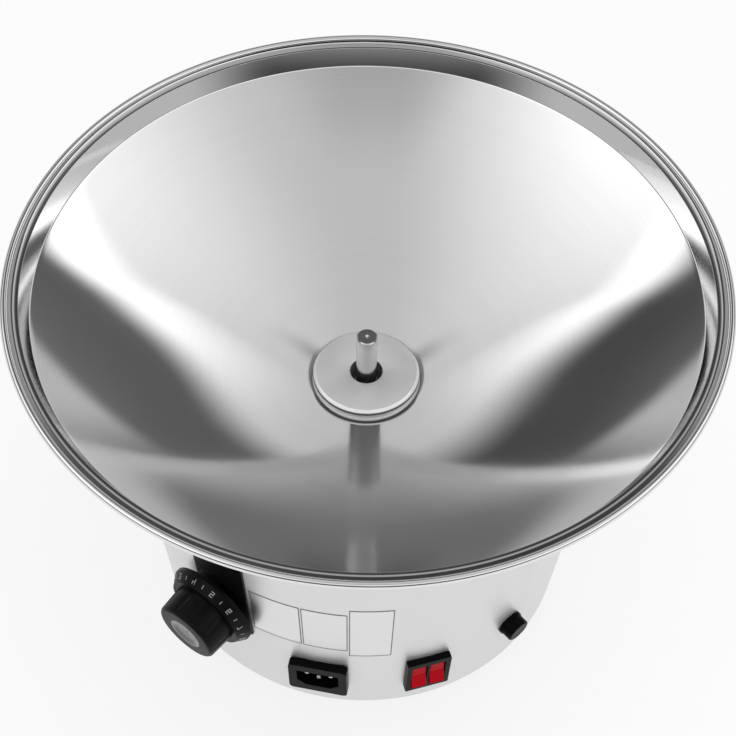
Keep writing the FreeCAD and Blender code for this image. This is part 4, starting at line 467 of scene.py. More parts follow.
class Tree:
    """Adds and joins shader nodes of one tree."""

    def __init__(self, tree):
        self.tree = tree

    def node(self, kind, **options):
        """New node with its options set."""
        node = self.tree.nodes.new(kind)
        for key, value in options.items():
            setattr(node, key, value)
        return node

    def feed(self, socket, value):
        """Joins another socket to this one, or sets its number."""
        if isinstance(value, bpy.types.NodeSocket):
            self.tree.links.new(value, socket)
        else:
            socket.default_value = value

    def maths(self, operation, *values):
        """One step of arithmetic."""
        node = self.node("ShaderNodeMath", operation=operation)
        for socket, value in zip(node.inputs, values):
            self.feed(socket, value)
        return node.outputs[0]

    def ramp(self, value, low, high, start=0.0, end=1.0):
        """Smooth step from start to end while value goes from low to high."""
        node = self.node("ShaderNodeMapRange", interpolation_type="SMOOTHSTEP")
        for name, number in (("Value", value), ("From Min", low), ("From Max", high),
                             ("To Min", start), ("To Max", end)):
            self.feed(node.inputs[name], number)
        return node.outputs[0]

    def mix(self, factor, first, second):
        """Blend of two numbers: a + f (b - a)."""
        node = self.node("ShaderNodeMix", data_type="FLOAT")
        self.feed(node.inputs[0], factor)
        self.feed(node.inputs[2], first)
        self.feed(node.inputs[3], second)
        return node.outputs[0]

    def tint(self, factor, first, second):
        """Blend of two colours."""
        node = self.node("ShaderNodeMix", data_type="RGBA")
        self.feed(node.inputs[0], factor)
        self.feed(node.inputs[6], first)
        self.feed(node.inputs[7], second)
        return node.outputs[2]

    def place(self):
        """Object coordinates."""
        return self.node("ShaderNodeTexCoord").outputs["Object"]

    def parts(self, vector):
        """The three numbers of a vector."""
        node = self.node("ShaderNodeSeparateXYZ")
        self.feed(node.inputs[0], vector)
        return tuple(node.outputs)

    def from_axis(self, x, y):
        """Distance from the upright axis: sqrt(x^2 + y^2)."""
        squares = [self.maths("MULTIPLY", part, part) for part in (x, y)]
        return self.maths("SQRT", self.maths("ADD", *squares))

    def noise(self, vector, scale, detail):
        """Cloudy pattern in space."""
        node = self.node("ShaderNodeTexNoise", noise_dimensions="3D")
        self.feed(node.inputs["Vector"], vector)
        self.feed(node.inputs["Scale"], scale)
        self.feed(node.inputs["Detail"], detail)
        return node.outputs[0]

    def stripes(self, distance, detail):
        """Cloudy pattern along one distance only."""
        node = self.node("ShaderNodeTexNoise", noise_dimensions="1D")
        self.feed(node.inputs["W"], distance)
        self.feed(node.inputs["Scale"], 1.0)
        self.feed(node.inputs["Detail"], detail)
        return node.outputs[0]

    def bump(self, height, strength, distance):
        """Normal of a surface with this height pattern."""
        node = self.node("ShaderNodeBump")
        self.feed(node.inputs["Strength"], strength)
        self.feed(node.inputs["Distance"], distance)
        self.feed(node.inputs["Height"], height)
        return node.outputs[0]

    def use(self, data, **values):
        """Places a node group with its own values."""
        node = self.node("ShaderNodeGroup", node_tree=data)
        for key, value in values.items():
            node.inputs[key].default_value = value
        return node.outputs


def colour(value):
    """Grey or (r, g, b) as the four numbers of a colour socket."""
    if isinstance(value, (int, float)):
        value = (value, value, value)
    return (value[0], value[1], value[2], 1.0)


def darker(value, share):
    """Colour with only a share of its light."""
    return colour([part * share for part in colour(value)[:3]])


# Node groups

RING_DEPTH = 0.0004
RING_CLIMB = 0.6
BROAD_RINGS = 90.0
FINE_SHARE = 0.6
GRAIN_DEPTH = 0.0003
SMUDGE_SCALE = 22.0


def group(name, inputs, outputs):
    """Empty node group with its sockets; returns (group, tree, input, output)."""
    data = bpy.data.node_groups.new(name, "ShaderNodeTree")
    for label, default in inputs:
        socket = data.interface.new_socket(label, in_out="INPUT",
                                           socket_type="NodeSocketFloat")
        socket.default_value = default
    for label, kind in outputs:
        data.interface.new_socket(label, in_out="OUTPUT", socket_type=kind)
    tree = Tree(data)
    return data, tree, tree.node("NodeGroupInput"), tree.node("NodeGroupOutput")


def rings_group():
    """Fine rings round Z, as spinning or turning leaves them, and their normal.

    The rings follow the distance from the axis plus a share of the height, so that an
    upright wall has rings too.
    """
    if "Spun rings" in bpy.data.node_groups:
        return bpy.data.node_groups["Spun rings"]
    data, t, source, sink = group(
        "Spun rings", [("Scale", 900.0), ("Relief", 0.03)],
        [("Rings", "NodeSocketFloat"), ("Normal", "NodeSocketVector")])
    x, y, z = t.parts(t.place())
    slant = t.maths("ADD", t.from_axis(x, y), t.maths("MULTIPLY", z, RING_CLIMB))
    fine = t.stripes(t.maths("MULTIPLY", slant, source.outputs[0]), detail=2.0)
    broad = t.stripes(t.maths("MULTIPLY", slant, BROAD_RINGS), detail=3.0)
    rings = t.maths("ADD", t.maths("MULTIPLY", fine, FINE_SHARE),
                    t.maths("MULTIPLY", broad, 1.0 - FINE_SHARE))
    t.feed(sink.inputs[0], rings)
    t.feed(sink.inputs[1], t.bump(rings, source.outputs[1], RING_DEPTH))
    return data


def grain_group():
    """Uneven gloss and a fine grain over a surface, from Object coordinates."""
    if "Surface grain" in bpy.data.node_groups:
        return bpy.data.node_groups["Surface grain"]
    data, t, source, sink = group(
        "Surface grain", [("Scale", 400.0), ("Relief", 0.05)],
        [("Grain", "NodeSocketFloat"), ("Smudge", "NodeSocketFloat"),
         ("Normal", "NodeSocketVector")])
    place = t.place()
    fine = t.noise(place, source.outputs[0], detail=4.0)
    t.feed(sink.inputs[0], fine)
    t.feed(sink.inputs[1], t.noise(place, SMUDGE_SCALE, detail=3.0))
    t.feed(sink.inputs[2], t.bump(fine, source.outputs[1], GRAIN_DEPTH))
    return data


def brushed_group():
    """Fine level lines of a brushed sheet, from Object coordinates stretched in X, Y."""
    if "Brushed lines" in bpy.data.node_groups:
        return bpy.data.node_groups["Brushed lines"]
    data, t, source, sink = group(
        "Brushed lines", [("Along", 8.0), ("Across", 1500.0), ("Relief", 0.04)],
        [("Lines", "NodeSocketFloat"), ("Normal", "NodeSocketVector")])
    along, across, relief = source.outputs[:3]
    scale = t.node("ShaderNodeCombineXYZ")
    for socket, value in zip(scale.inputs, (along, along, across)):
        t.feed(socket, value)
    stretched = t.node("ShaderNodeVectorMath", operation="MULTIPLY")
    t.feed(stretched.inputs[0], t.place())
    t.feed(stretched.inputs[1], scale.outputs[0])
    lines = t.noise(stretched.outputs[0], 1.0, detail=3.0)
    t.feed(sink.inputs[0], lines)
    t.feed(sink.inputs[1], t.bump(lines, relief, GRAIN_DEPTH))
    return data


# Materials

GLOSS_LEAST = 0.85
GLOSS_MOST = 1.2
BRUSHED_MOST = 1.15
RING_EDGE = 0.0003


def start_material(name):
    """New material with its tree and its main shader."""
    material = bpy.data.materials.new(name)
    material.use_nodes = True
    tree = Tree(material.node_tree)
    return material, tree, material.node_tree.nodes["Principled BSDF"]


def uneven(tree, pattern, rough, most):
    """Roughness that a pattern takes from a little under to a little over its mean."""
    return tree.ramp(pattern, 0.3, 0.7, rough * GLOSS_LEAST, min(rough * most, 1.0))


def ring_mask(tree, inner, outer, low, high):
    """1 between two distances from the axis and two heights, with soft edges."""
    x, y, z = tree.parts(tree.place())
    radius = tree.from_axis(x, y)
    mask = 1.0
    for value, edge, soft in ((radius, inner, RING_EDGE), (radius, outer, -RING_EDGE),
                              (z, low, RING_EDGE), (z, high, -RING_EDGE)):
        mask = tree.maths("MULTIPLY", mask, tree.ramp(value, edge - soft, edge + soft))
    return mask


def turned_metal(name, base, rough, relief, spread, lines=900.0, shade_ring=None, shade_grey=None,
                 reflection_grey=None):
    """Metal with spinning rings: colour and gloss follow the rings.

    A ring of two radii and two heights can take a grey of painted shade, and the mirror
    image of the piece in other metal a grey of painted reflection.
    """
    material, t, bsdf = start_material(name)
    pattern, normal = t.use(rings_group(), Scale=lines, Relief=relief)
    tone = t.tint(pattern, darker(base, 0.93), colour(base))
    # Painted shade: a darker grey inside the ring's mask
    if shade_ring:
        tone = t.tint(ring_mask(t, *shade_ring), tone, colour(shade_grey))
    # Painted reflection: another grey where other metal mirrors the piece
    if reflection_grey:
        paths = t.node("ShaderNodeLightPath")
        tone = t.tint(paths.outputs["Is Glossy Ray"], tone, colour(reflection_grey))
    smudge = t.use(grain_group(), Scale=300.0, Relief=0.0)["Smudge"]
    tangent = t.node("ShaderNodeTangent", direction_type="RADIAL", axis="Z")
    t.feed(bsdf.inputs["Base Color"], tone)
    t.feed(bsdf.inputs["Roughness"], uneven(t, smudge, rough, GLOSS_MOST))
    t.feed(bsdf.inputs["Normal"], normal)
    t.feed(bsdf.inputs["Tangent"], tangent.outputs[0])
    bsdf.inputs["Metallic"].default_value = 1.0
    bsdf.inputs["Anisotropic"].default_value = spread
    return material


def sheet_metal(name, base, rough, relief, across=1500.0, metallic=1.0):
    """Satin sheet with fine lines."""
    material, t, bsdf = start_material(name)
    lines, normal = t.use(brushed_group(), Across=across, Relief=relief)
    t.feed(bsdf.inputs["Base Color"], t.tint(lines, darker(base, 0.92), colour(base)))
    t.feed(bsdf.inputs["Roughness"], uneven(t, lines, rough, BRUSHED_MOST))
    t.feed(bsdf.inputs["Normal"], normal)
    bsdf.inputs["Metallic"].default_value = metallic
    return material


def grained(name, base, rough, metallic=0.0, scale=400.0, relief=0.05, shine=0.5):
    """Moulded, cast or coated surface with a fine grain and uneven gloss."""
    material, t, bsdf = start_material(name)
    _, smudge, normal = t.use(grain_group(), Scale=scale, Relief=relief)
    t.feed(bsdf.inputs["Base Color"], t.tint(smudge, darker(base, 0.88), colour(base)))
    t.feed(bsdf.inputs["Roughness"], uneven(t, smudge, rough, GLOSS_MOST))
    t.feed(bsdf.inputs["Normal"], normal)
    bsdf.inputs["Metallic"].default_value = metallic
    bsdf.inputs["Specular IOR Level"].default_value = shine
    return material


def paint(obj, material):
    """Gives a new piece its one material."""
    obj.data.materials.clear()
    obj.data.materials.append(material)


def paint_node(name, material):
    """Gives a CAD node its material in every slot it has."""
    obj = NODES[name]
    if not obj.material_slots:
        obj.data.materials.append(material)
    for slot in obj.material_slots:
        slot.material = material


# Operators, one per piece or group

# Painted shade on the bowl's ledge: a grey darker than its dish that stands in for the dark
# the ledge mirrors, from below to above the rim's centre
LEDGE_SHADE_HEIGHTS = (-0.0014, 0.001)
LEDGE_SHADE_GREY = 0.5


class FOUNTAIN_OT_bowl(bpy.types.Operator):
    """Makes the smooth spun bowl with its rolled rim."""

    bl_idname = "fountain.bowl"
    bl_label = "Spun bowl"

    def execute(self, context):
        b = settings("bowl")
        bead = bead_profile()
        profile = np.vstack([inner_profile(bead), bead, under_profile(bead)])
        obj = lathe("spun_bowl", profile[::-1], b.segments)
        ledge = inner_corners()[2]
        # Painted shade: the ledge between its corner and the bead takes a darker grey
        shade_ring = (ledge[0], bead_centre() - b.bead_radius, b.rim_height + LEDGE_SHADE_HEIGHTS[0],
                b.rim_height + LEDGE_SHADE_HEIGHTS[1])
        steel = turned_metal("Spun stainless", settings("colours").bowl, 0.08,
                             b.ring_relief, spread=0.35, shade_ring=shade_ring, shade_grey=LEDGE_SHADE_GREY)
        paint(obj, steel)
        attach(obj, "base")
        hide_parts("bowl")
        return {"FINISHED"}


HUB_RADIUS = 0.0302
HUB_BEVEL = 0.0016
HUB_FACE = 0.0286
HUB_BORE = 0.0091
SEAL_DEPTH = 0.008
SLEEVE_RADIUS = 0.015
SLEEVE_BORE = 0.012
HUB_ROUNDING = (0, 0.0006, 0.0003, 0.0003, 0, 0, 0, 0, 0, 0)
HUB_ROUNDING_STEPS = 5
HUB_SEGMENTS = 160
# Painted shade round the hub, a dark line below its top edge: its radii, and how far below
# the hub's top it lies
HUB_SHADE_RADII = (0.0296, 0.04)
HUB_SHADE_DEPTHS = (0.003, 0.0014)
HUB_SHADE_GREY = 0.1


class FOUNTAIN_OT_hub(bpy.types.Operator):
    """Makes the turned hub disc with its sleeve."""

    bl_idname = "fountain.hub"
    bl_label = "Hub disc"

    def execute(self, context):
        low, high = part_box("hub_disc")
        top, sleeve_end = high[2], low[2]
        floor = inner_corners()[0][1]
        shoulder = top - SEAL_DEPTH
        disc = rounded([(HUB_BORE, shoulder), (HUB_BORE, top), (HUB_FACE, top),
                        (HUB_RADIUS, top - HUB_BEVEL), (HUB_RADIUS, floor),
                        (SLEEVE_RADIUS, floor), (SLEEVE_RADIUS, sleeve_end),
                        (SLEEVE_BORE, sleeve_end), (SLEEVE_BORE, shoulder),
                        (HUB_BORE, shoulder)], HUB_ROUNDING, HUB_ROUNDING_STEPS)
        hub = lathe("hub_disc_turned", disc[::-1], HUB_SEGMENTS)
        # Painted shade: a dark band round the hub's side just under its top edge
        line = (*HUB_SHADE_RADII, top - HUB_SHADE_DEPTHS[0], top - HUB_SHADE_DEPTHS[1])
        paint(hub, turned_metal("Turned stainless", 0.95, 0.45, 0.05, spread=0.5,
                                lines=2600.0, shade_ring=line, shade_grey=HUB_SHADE_GREY))
        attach(hub, "base")
        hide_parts("hub_disc")
        return {"FINISHED"}


class FOUNTAIN_OT_drum(bpy.types.Operator):
    """Makes the smooth drum with the openings behind its controls."""

    bl_idname = "fountain.drum"
    bl_label = "Drum"

    def execute(self, context):
        points = drum_points(drum_profile())
        rows, columns = points.shape[:2]
        faces = grid_faces(rows, columns, around=True, keep=cells_kept(points))
        obj = new_mesh("drum_skin", points.reshape(-1, 3), faces)
        paint(obj, sheet_metal("Satin stainless", settings("colours").drum, 0.42, 0.02,
                               metallic=0.7))
        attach(obj, "base")
        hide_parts("housing_shell")
        return {"FINISHED"}


# The label's plates: azimuths in degrees and heights in metres of their edges
PLATES = {
    "label_left": ((-27.5, -14.6), (0.078, 0.122)),
    "label_middle": ((-14.2, -3.0), (0.078, 0.122)),
    "label_right": ((-2.6, 8.0), (0.072, 0.128)),
}
PLATE_COLUMNS = 24
PLATE_ROWS = 8
PLATE_LIFT = 0.00012
BORDER_WIDTH = 0.0005
BORDER_LIFT = 0.0002


def border_bars(azimuth, level):
    """Four thin strips along the edges of a plate on the wall."""
    wide = math.degrees(BORDER_WIDTH / wall_radius(level[0]))
    left, right = azimuth
    low, high = level
    sides = ((azimuth, (low, low + BORDER_WIDTH), PLATE_COLUMNS, 2),
             (azimuth, (high - BORDER_WIDTH, high), PLATE_COLUMNS, 2),
             ((left, left + wide), level, 2, PLATE_ROWS),
             ((right - wide, right), level, 2, PLATE_ROWS))
    return [wall_patch("bar", *side, BORDER_LIFT) for side in sides]


class FOUNTAIN_OT_label(bpy.types.Operator):
    """Lays the bare rating label on the drum: three plates with thin borders."""

    bl_idname = "fountain.label"
    bl_label = "Bare label"

    def execute(self, context):
        face = grained("Label foil", (0.86, 0.86, 0.865), 0.34, metallic=1.0,
                       scale=900.0, relief=0.01)
        ink = grained("Label border", (0.16, 0.16, 0.17), 0.5, scale=900.0, relief=0.01)
        for name, (azimuth, level) in PLATES.items():
            plate = wall_patch(name, azimuth, level, PLATE_COLUMNS, PLATE_ROWS, PLATE_LIFT)
            paint(plate, face)
            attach(plate, "base")
            border = join(name + "_border", border_bars(azimuth, level))
            paint(border, ink)
            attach(border, "base")
        return {"FINISHED"}


# Strokes of the figures 0 to 9, as corner points in a box 1 wide and 1.6 high
FIGURE_BOX = (1.0, 1.6)
STROKES = (
    [(0, 0), (0, 1.6), (1, 1.6), (1, 0), (0, 0)],
    [(0.5, 0), (0.5, 1.6)],
    [(0, 1.6), (1, 1.6), (1, 0.8), (0, 0.8), (0, 0), (1, 0)],
    [(0, 1.6), (1, 1.6), (1, 0), (0, 0), (0.2, 0), (1, 0), (1, 0.8), (0.3, 0.8)],
    [(0, 1.6), (0, 0.8), (1, 0.8), (1, 1.6), (1, 0)],
    [(1, 1.6), (0, 1.6), (0, 0.8), (1, 0.8), (1, 0), (0, 0)],
    [(1, 1.6), (0, 1.6), (0, 0), (1, 0), (1, 0.8), (0, 0.8)],
    [(0, 1.6), (1, 1.6), (0.4, 0)],
    [(0, 0.8), (0, 1.6), (1, 1.6), (1, 0), (0, 0), (0, 0.8), (1, 0.8)],
    [(1, 0.8), (0, 0.8), (0, 1.6), (1, 1.6), (1, 0), (0, 0)],
)
TICK = [(0.5, 0.3), (0.5, 1.3)]
STROKE_WIDTH = 0.3
# The knob's skirt: its back from the wall, and foot and front as radius and height
SKIRT_BACK = 0.0012 + 0.003
SKIRT_FOOT = np.array([0.0275, 0.002])
SKIRT_FRONT = np.array([0.0235, 0.008])
INK_LIFT = 0.00015
DIAL_START = 225.0
DIAL_SWEEP = 270.0


def stroke_quads(points, width):
    """Flat four-cornered strokes along a broken line, each run past its ends."""
    p = np.asarray(points, dtype=np.float64)
    a, b = p[:-1], p[1:]
    along = (b - a) / np.linalg.norm(b - a, axis=1, keepdims=True)
    side = np.stack([-along[:, 1], along[:, 0]], axis=1) * width / 2
    a = a - along * width / 2
    b = b + along * width / 2
    return np.stack([a - side, b - side, b + side, a + side], axis=1).reshape(-1, 2)


def on_skirt(quads, degrees):
    """Flat strokes (x, y) laid on the skirt's cone at an angle: r and z run with y along
    the cone's side, and the turn is the angle less x / r."""
    along = (SKIRT_FRONT - SKIRT_FOOT) / np.linalg.norm(SKIRT_FRONT - SKIRT_FOOT)
    away = np.array([along[1], -along[0]])
    middle = (SKIRT_FOOT + SKIRT_FRONT) / 2
    r = middle[0] + quads[:, 1] * along[0] + INK_LIFT * away[0]
    z = middle[1] + quads[:, 1] * along[1] + INK_LIFT * away[1]
    t = math.radians(degrees) - quads[:, 0] / middle[0]
    return np.stack([r * np.cos(t), r * np.sin(t), z + SKIRT_BACK], axis=1)


class FOUNTAIN_OT_dial(bpy.types.Operator):
    """Prints plain figures, with a tick between them, on the knob's skirt."""

    bl_idname = "fountain.dial"
    bl_label = "Dial figures"

    def execute(self, context):
        s = settings("dial")
        unit = s.figure_size / FIGURE_BOX[1]
        middle = [FIGURE_BOX[0] / 2, FIGURE_BOX[1] / 2]
        last = 2 * s.figures - 2
        marks = []
        for k in range(last + 1):
            line = STROKES[k // 2 % len(STROKES)] if k % 2 == 0 else TICK
            quads = (stroke_quads(line, STROKE_WIDTH) - middle) * unit
            marks.append(on_skirt(quads, DIAL_START - DIAL_SWEEP * k / last))
        points = on_frame(wall_frame(*KNOB_PLACE), np.vstack(marks))
        faces = np.arange(len(points)).reshape(-1, 4)
        obj = new_mesh("dial_figures", points, faces, smooth=False)
        paint(obj, grained("Figure ink", settings("colours").figures, 0.45,
                           scale=900.0, relief=0.01))
        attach(obj, "thermostat_knob")
        return {"FINISHED"}


def shown_finishes():
    """Materials of the CAD nodes that show outside, each with its nodes."""
    c = settings("colours")
    return (
        (grained("Black moulding", c.mouldings, 0.3, scale=700.0, relief=0.03, shine=0.04),
         ("inlet_housing", "switch_frame", "fuse_holder", "fuse_cap", "fuse_nut")),
        (grained("Black knob", c.knob, 0.4, scale=900.0, relief=0.06, shine=0.1),
         ("knob",)),
        (grained("Black enamel", c.mouldings, 0.3, scale=260.0, relief=0.05, shine=0.05),
         ("dial_plate",)),
        (grained("Red rocker", c.rockers, 0.3, scale=500.0, relief=0.02, shine=0.04),
         ("rocker_left", "rocker_right")),
        (turned_metal("Bright disc", 0.16, 0.22, 0.05, spread=0.5, lines=2600.0),
         ("knob_disc",)),
        # Painted reflection: the shaft's grey is darker in other metal's mirror image
        (turned_metal("Ground shaft", 0.5, 0.2, 0.04, spread=0.3, lines=3000.0,
                      reflection_grey=0.36),
         ("drive_shaft", "output_shaft", "motor_shaft", "layshaft_pin",
          "thermostat_spindle")),
        (grained("Plated contact", (0.72, 0.70, 0.62), 0.3, metallic=1.0),
         ("inlet_blades", "switch_tabs")),
        (grained("Rubber", (0.025, 0.025, 0.026), 0.75, scale=500.0, relief=0.2),
         ("hub_gasket", "shaft_seal", "levelling_foot_1", "levelling_foot_2",
          "levelling_foot_3", "levelling_foot_4")),
        (sheet_metal("Base sheet", (0.62, 0.62, 0.63), 0.4, 0.03, across=900.0),
         ("base_plate", "support_ring", "motor_carrier", "bowl", "housing_shell",
          "hub_disc")),
    )


def inner_finishes():
    """Materials of the CAD nodes inside the drum, each with its nodes."""
    return (
        (grained("Wire insulation", (0.30, 0.16, 0.08), 0.45, scale=500.0, relief=0.02),
         ("wiring",)),
        (grained("Die casting", (0.56, 0.56, 0.57), 0.55, metallic=1.0, scale=140.0,
                 relief=0.15), ("gearbox_case", "gearbox_cover")),
        (sheet_metal("Core laminations", (0.3, 0.3, 0.31), 0.5, 0.2, across=2600.0),
         ("stator", "rotor_core")),
        (grained("Heater sheath", (0.34, 0.31, 0.28), 0.45, metallic=1.0, scale=120.0,
                 relief=0.1), ("heater",)),
        (grained("Nylon", (0.72, 0.70, 0.62), 0.45, scale=300.0),
         ("layshaft_wheel", "output_wheel")),
        (grained("Sintered bronze", (0.5, 0.34, 0.18), 0.55, metallic=1.0, scale=900.0,
                 relief=0.2), ("shaft_bush", "output_bushes", "motor_bushes")),
        (grained("Copper", (0.64, 0.34, 0.22), 0.3, metallic=1.0), ("thermostat_bulb",)),
        (grained("Phenolic", (0.05, 0.04, 0.035), 0.5, scale=300.0),
         ("thermostat", "terminal_block", "thermal_cutout")),
        (grained("Fuse glass", (0.75, 0.8, 0.78), 0.12, scale=100.0, relief=0.0),
         ("fuse_link",)),
    )


class FOUNTAIN_OT_finishes(bpy.types.Operator):
    """Gives each CAD node its finish; those without one of their own are zinc plated."""

    bl_idname = "fountain.finishes"
    bl_label = "Finishes"

    def execute(self, context):
        zinc = grained("Zinc plate", (0.62, 0.62, 0.6), 0.42, metallic=1.0, scale=180.0)
        finish = {name: zinc for name in NODES}
        for material, names in shown_finishes() + inner_finishes():
            for name in names:
                finish[name] = material
        for name, material in finish.items():
            paint_node(name, material)
        return {"FINISHED"}


# The studio in reflections. Each part has its light and soft limits in degrees, where it
# starts and where it is full: side is the angle from straight behind the object, height
# the angle above level, over the height above the dark panel's top edge, and low the
# height above the slanting edge of the grey corners. Where a line has four numbers, they
# are two angles and the value at each.

DEGREES = 180.0 / math.pi
LEFT_HALF = (8.0, -8.0)
CEILING_LIGHT = 0.80
BOX_LIGHT = 2.9
BOX_SIDE = (21.5, 103.0)
BOX_HEIGHT = (87.7, 5.8)
BOX_ENDS = {"right": (150.0, 38.0), "left": (180.0, 100.0)}
STRIP_SIDE = (6.8, 83.4)
STRIP_OVER = (18.0, 3.0)
FRONT_WALL = {"side": (129.0, 169.0), "height": (82.0, 66.0)}
FRONT_WALL_LIGHT = (62.0, 46.0, 0.6, 1.3)
DIM_PATCH = (0.27, {"side": (48.0, 34.0), "height": (62.0, 54.0), "over": (18.0, 26.0)})
DARK_SLOT = (0.1, {"side": (18.0, 6.0), "height": (53.0, 49.0), "over": (24.0, 30.0)})
# Height of the dark panel's top edge by side: it rises outwards, then dips again
PANEL_RISE = (0.0, 41.5, 8.7, 31.6)
PANEL_DIP = (45.5, 53.0, 0.0, 3.8)
# The panel's soft edge and its dark at the right and the left, and the grey at its foot
PANEL_START = (4.9, 7.3)
PANEL_FULL = -1.5
PANEL_DARK = (0.15, 0.09)
PANEL_FOOT = (-2.0, -40.5)
PANEL_FOOT_LIGHT = 0.425
GREY_EDGE = (-10.0, 44.5, 0.0, 17.5)
GREY_CORNERS = (0.72, {"low": (1.0, -1.5), "side": (15.0, 27.0)})
DARK_FRONT = (0.08, {"side": (120.0, 150.0), "height": (22.0, 10.0)})
GROUND = (0.9, {"height": (0.0, -4.0)})
SKY_STRENGTH = 0.8


def soft_boxes(t, left, side, height, over):
    """Ceiling with a soft box at each side and a bright strip over the dark panel."""
    ends = t.mix(left, t.ramp(side, *BOX_ENDS["right"]), t.ramp(side, *BOX_ENDS["left"]))
    boxes = t.maths("MULTIPLY", t.ramp(side, *BOX_SIDE), ends)
    boxes = t.maths("MULTIPLY", boxes, t.ramp(height, *BOX_HEIGHT))
    strip = t.maths("MULTIPLY", t.ramp(side, *STRIP_SIDE), t.ramp(over, *STRIP_OVER))
    return t.mix(t.maths("MAXIMUM", boxes, strip), CEILING_LIGHT, BOX_LIGHT)


def lay(t, light, level, limits, angles):
    """One part of the studio over the rest, where all of its limits are met."""
    mask = None
    for name, (start, full) in limits.items():
        step = t.ramp(angles[name], start, full)
        mask = step if mask is None else t.maths("MULTIPLY", mask, step)
    return t.mix(mask, light, level)


def studio_light(t):
    """Strength of the studio in each direction, as parts laid over each other: boxes,
    front wall, dim patch, slot, dark panel, grey corners, dark front and ground."""
    x, y, z = t.parts(t.node("ShaderNodeTexCoord").outputs["Generated"])
    turn = t.maths("MULTIPLY", t.maths("ARCTAN2", x, y), DEGREES)
    height = t.maths("MULTIPLY", t.maths("ARCSINE", z), DEGREES)
    side = t.maths("ABSOLUTE", turn)
    left = t.ramp(turn, *LEFT_HALF)
    edge = t.maths("SUBTRACT", t.ramp(side, *PANEL_RISE), t.ramp(side, *PANEL_DIP))
    over = t.maths("SUBTRACT", height, edge)
    low = t.maths("SUBTRACT", height, t.ramp(side, *GREY_EDGE))
    angles = {"side": side, "height": height, "over": over, "low": low}
    light = soft_boxes(t, left, side, height, over)
    light = lay(t, light, t.ramp(height, *FRONT_WALL_LIGHT), FRONT_WALL, angles)
    for part in (DIM_PATCH, DARK_SLOT):
        light = lay(t, light, *part, angles)
    panel = t.ramp(over, t.mix(left, *PANEL_START), PANEL_FULL)
    dark = t.mix(left, *PANEL_DARK)
    light = t.mix(panel, light, t.mix(t.ramp(over, *PANEL_FOOT), dark, PANEL_FOOT_LIGHT))
    for part in (GREY_CORNERS, DARK_FRONT, GROUND):
        light = lay(t, light, *part, angles)
    return light


def studio_world(scene):
    """World that is white to the camera, even for diffuse light and a soft studio in
    reflections."""
    world = bpy.data.worlds.new("Studio")
    scene.world = world
    world.use_nodes = True
    world.node_tree.nodes.clear()
    t = Tree(world.node_tree)
    paths = t.node("ShaderNodeLightPath")
    level = t.mix(paths.outputs["Is Diffuse Ray"], studio_light(t), settings("studio").fill)
    level = t.maths("MULTIPLY", level, SKY_STRENGTH)
    level = t.mix(paths.outputs["Is Camera Ray"], level, 1.0)
    shine = t.node("ShaderNodeBackground")
    t.feed(shine.inputs["Color"], colour(1.0))
    t.feed(shine.inputs["Strength"], level)
    sink = t.node("ShaderNodeOutputWorld")
    t.feed(sink.inputs["Surface"], shine.outputs[0])
    if hasattr(world, "cycles"):
        world.cycles.sampling_method = "NONE"


FLOOR_HALF = 3.0
FLOOR_GREYS = (0.88, 0.9)
FLOOR_GLOW = 1.1


def floor_material(shade):
    """Pale floor whose shading shows only by a share; the rest of it glows white to the
    camera and in mirrors."""
    material, t, bsdf = start_material("Pale floor")
    smudge = t.use(grain_group(), Scale=30.0, Relief=0.0)["Smudge"]
    t.feed(bsdf.inputs["Base Color"], t.tint(smudge, *map(colour, FLOOR_GREYS)))
    bsdf.inputs["Roughness"].default_value = 0.9
    bsdf.inputs["Specular IOR Level"].default_value = 0.1
    glow = t.node("ShaderNodeEmission")
    glow.inputs["Strength"].default_value = FLOOR_GLOW
    paths = t.node("ShaderNodeLightPath").outputs
    seen = t.maths("MAXIMUM", paths["Is Glossy Ray"], paths["Is Transmission Ray"])
    seen = t.maths("MAXIMUM", paths["Is Camera Ray"], seen)
    blend = t.node("ShaderNodeMixShader")
    t.feed(blend.inputs[0], t.maths("MULTIPLY", seen, 1.0 - shade))
    t.feed(blend.inputs[1], bsdf.outputs[0])
    t.feed(blend.inputs[2], glow.outputs[0])
    out = next(n for n in material.node_tree.nodes if n.type == "OUTPUT_MATERIAL")
    t.feed(out.inputs["Surface"], blend.outputs[0])
    return material


def pale_floor(shade):
    """Square floor that the fountain stands on."""
    s = FLOOR_HALF
    floor = new_mesh("floor", [(-s, -s, 0), (s, -s, 0), (s, s, 0), (-s, s, 0)],
                     [(0, 1, 2, 3)])
    paint(floor, floor_material(shade))


LAMP_SIZE = 1.6
LAMP_PLACE = (0.2, -0.3, 1.9)
LAMP_TILT = (-9.0, 6.0)


def soft_lamp(scene, power):
    """Round lamp above that no metal mirrors."""
    lamp = bpy.data.lights.new("Soft lamp", "AREA")
    lamp.shape = "DISK"
    lamp.size = LAMP_SIZE
    lamp.energy = power
    top = bpy.data.objects.new("Soft lamp", lamp)
    top.location = LAMP_PLACE
    top.rotation_euler = (math.radians(LAMP_TILT[0]), math.radians(LAMP_TILT[1]), 0.0)
    top.visible_glossy = False
    scene.collection.objects.link(top)


# The camera, solved from the ellipses of the rim and the drum: its focal length and
# shift in the picture's pixels, its place, and how far it looks down and rolls
SENSOR = 36.0
PICTURE = 736.0
FOCAL_PIXELS = 1900.0
SHIFT_PIXELS = 1.6
NEAREST = 0.05
CAMERA_PLACE = (0.0, -0.67821, 0.246 + 0.75286)
CAMERA_DOWN = 50.67
CAMERA_ROLL = 1.39


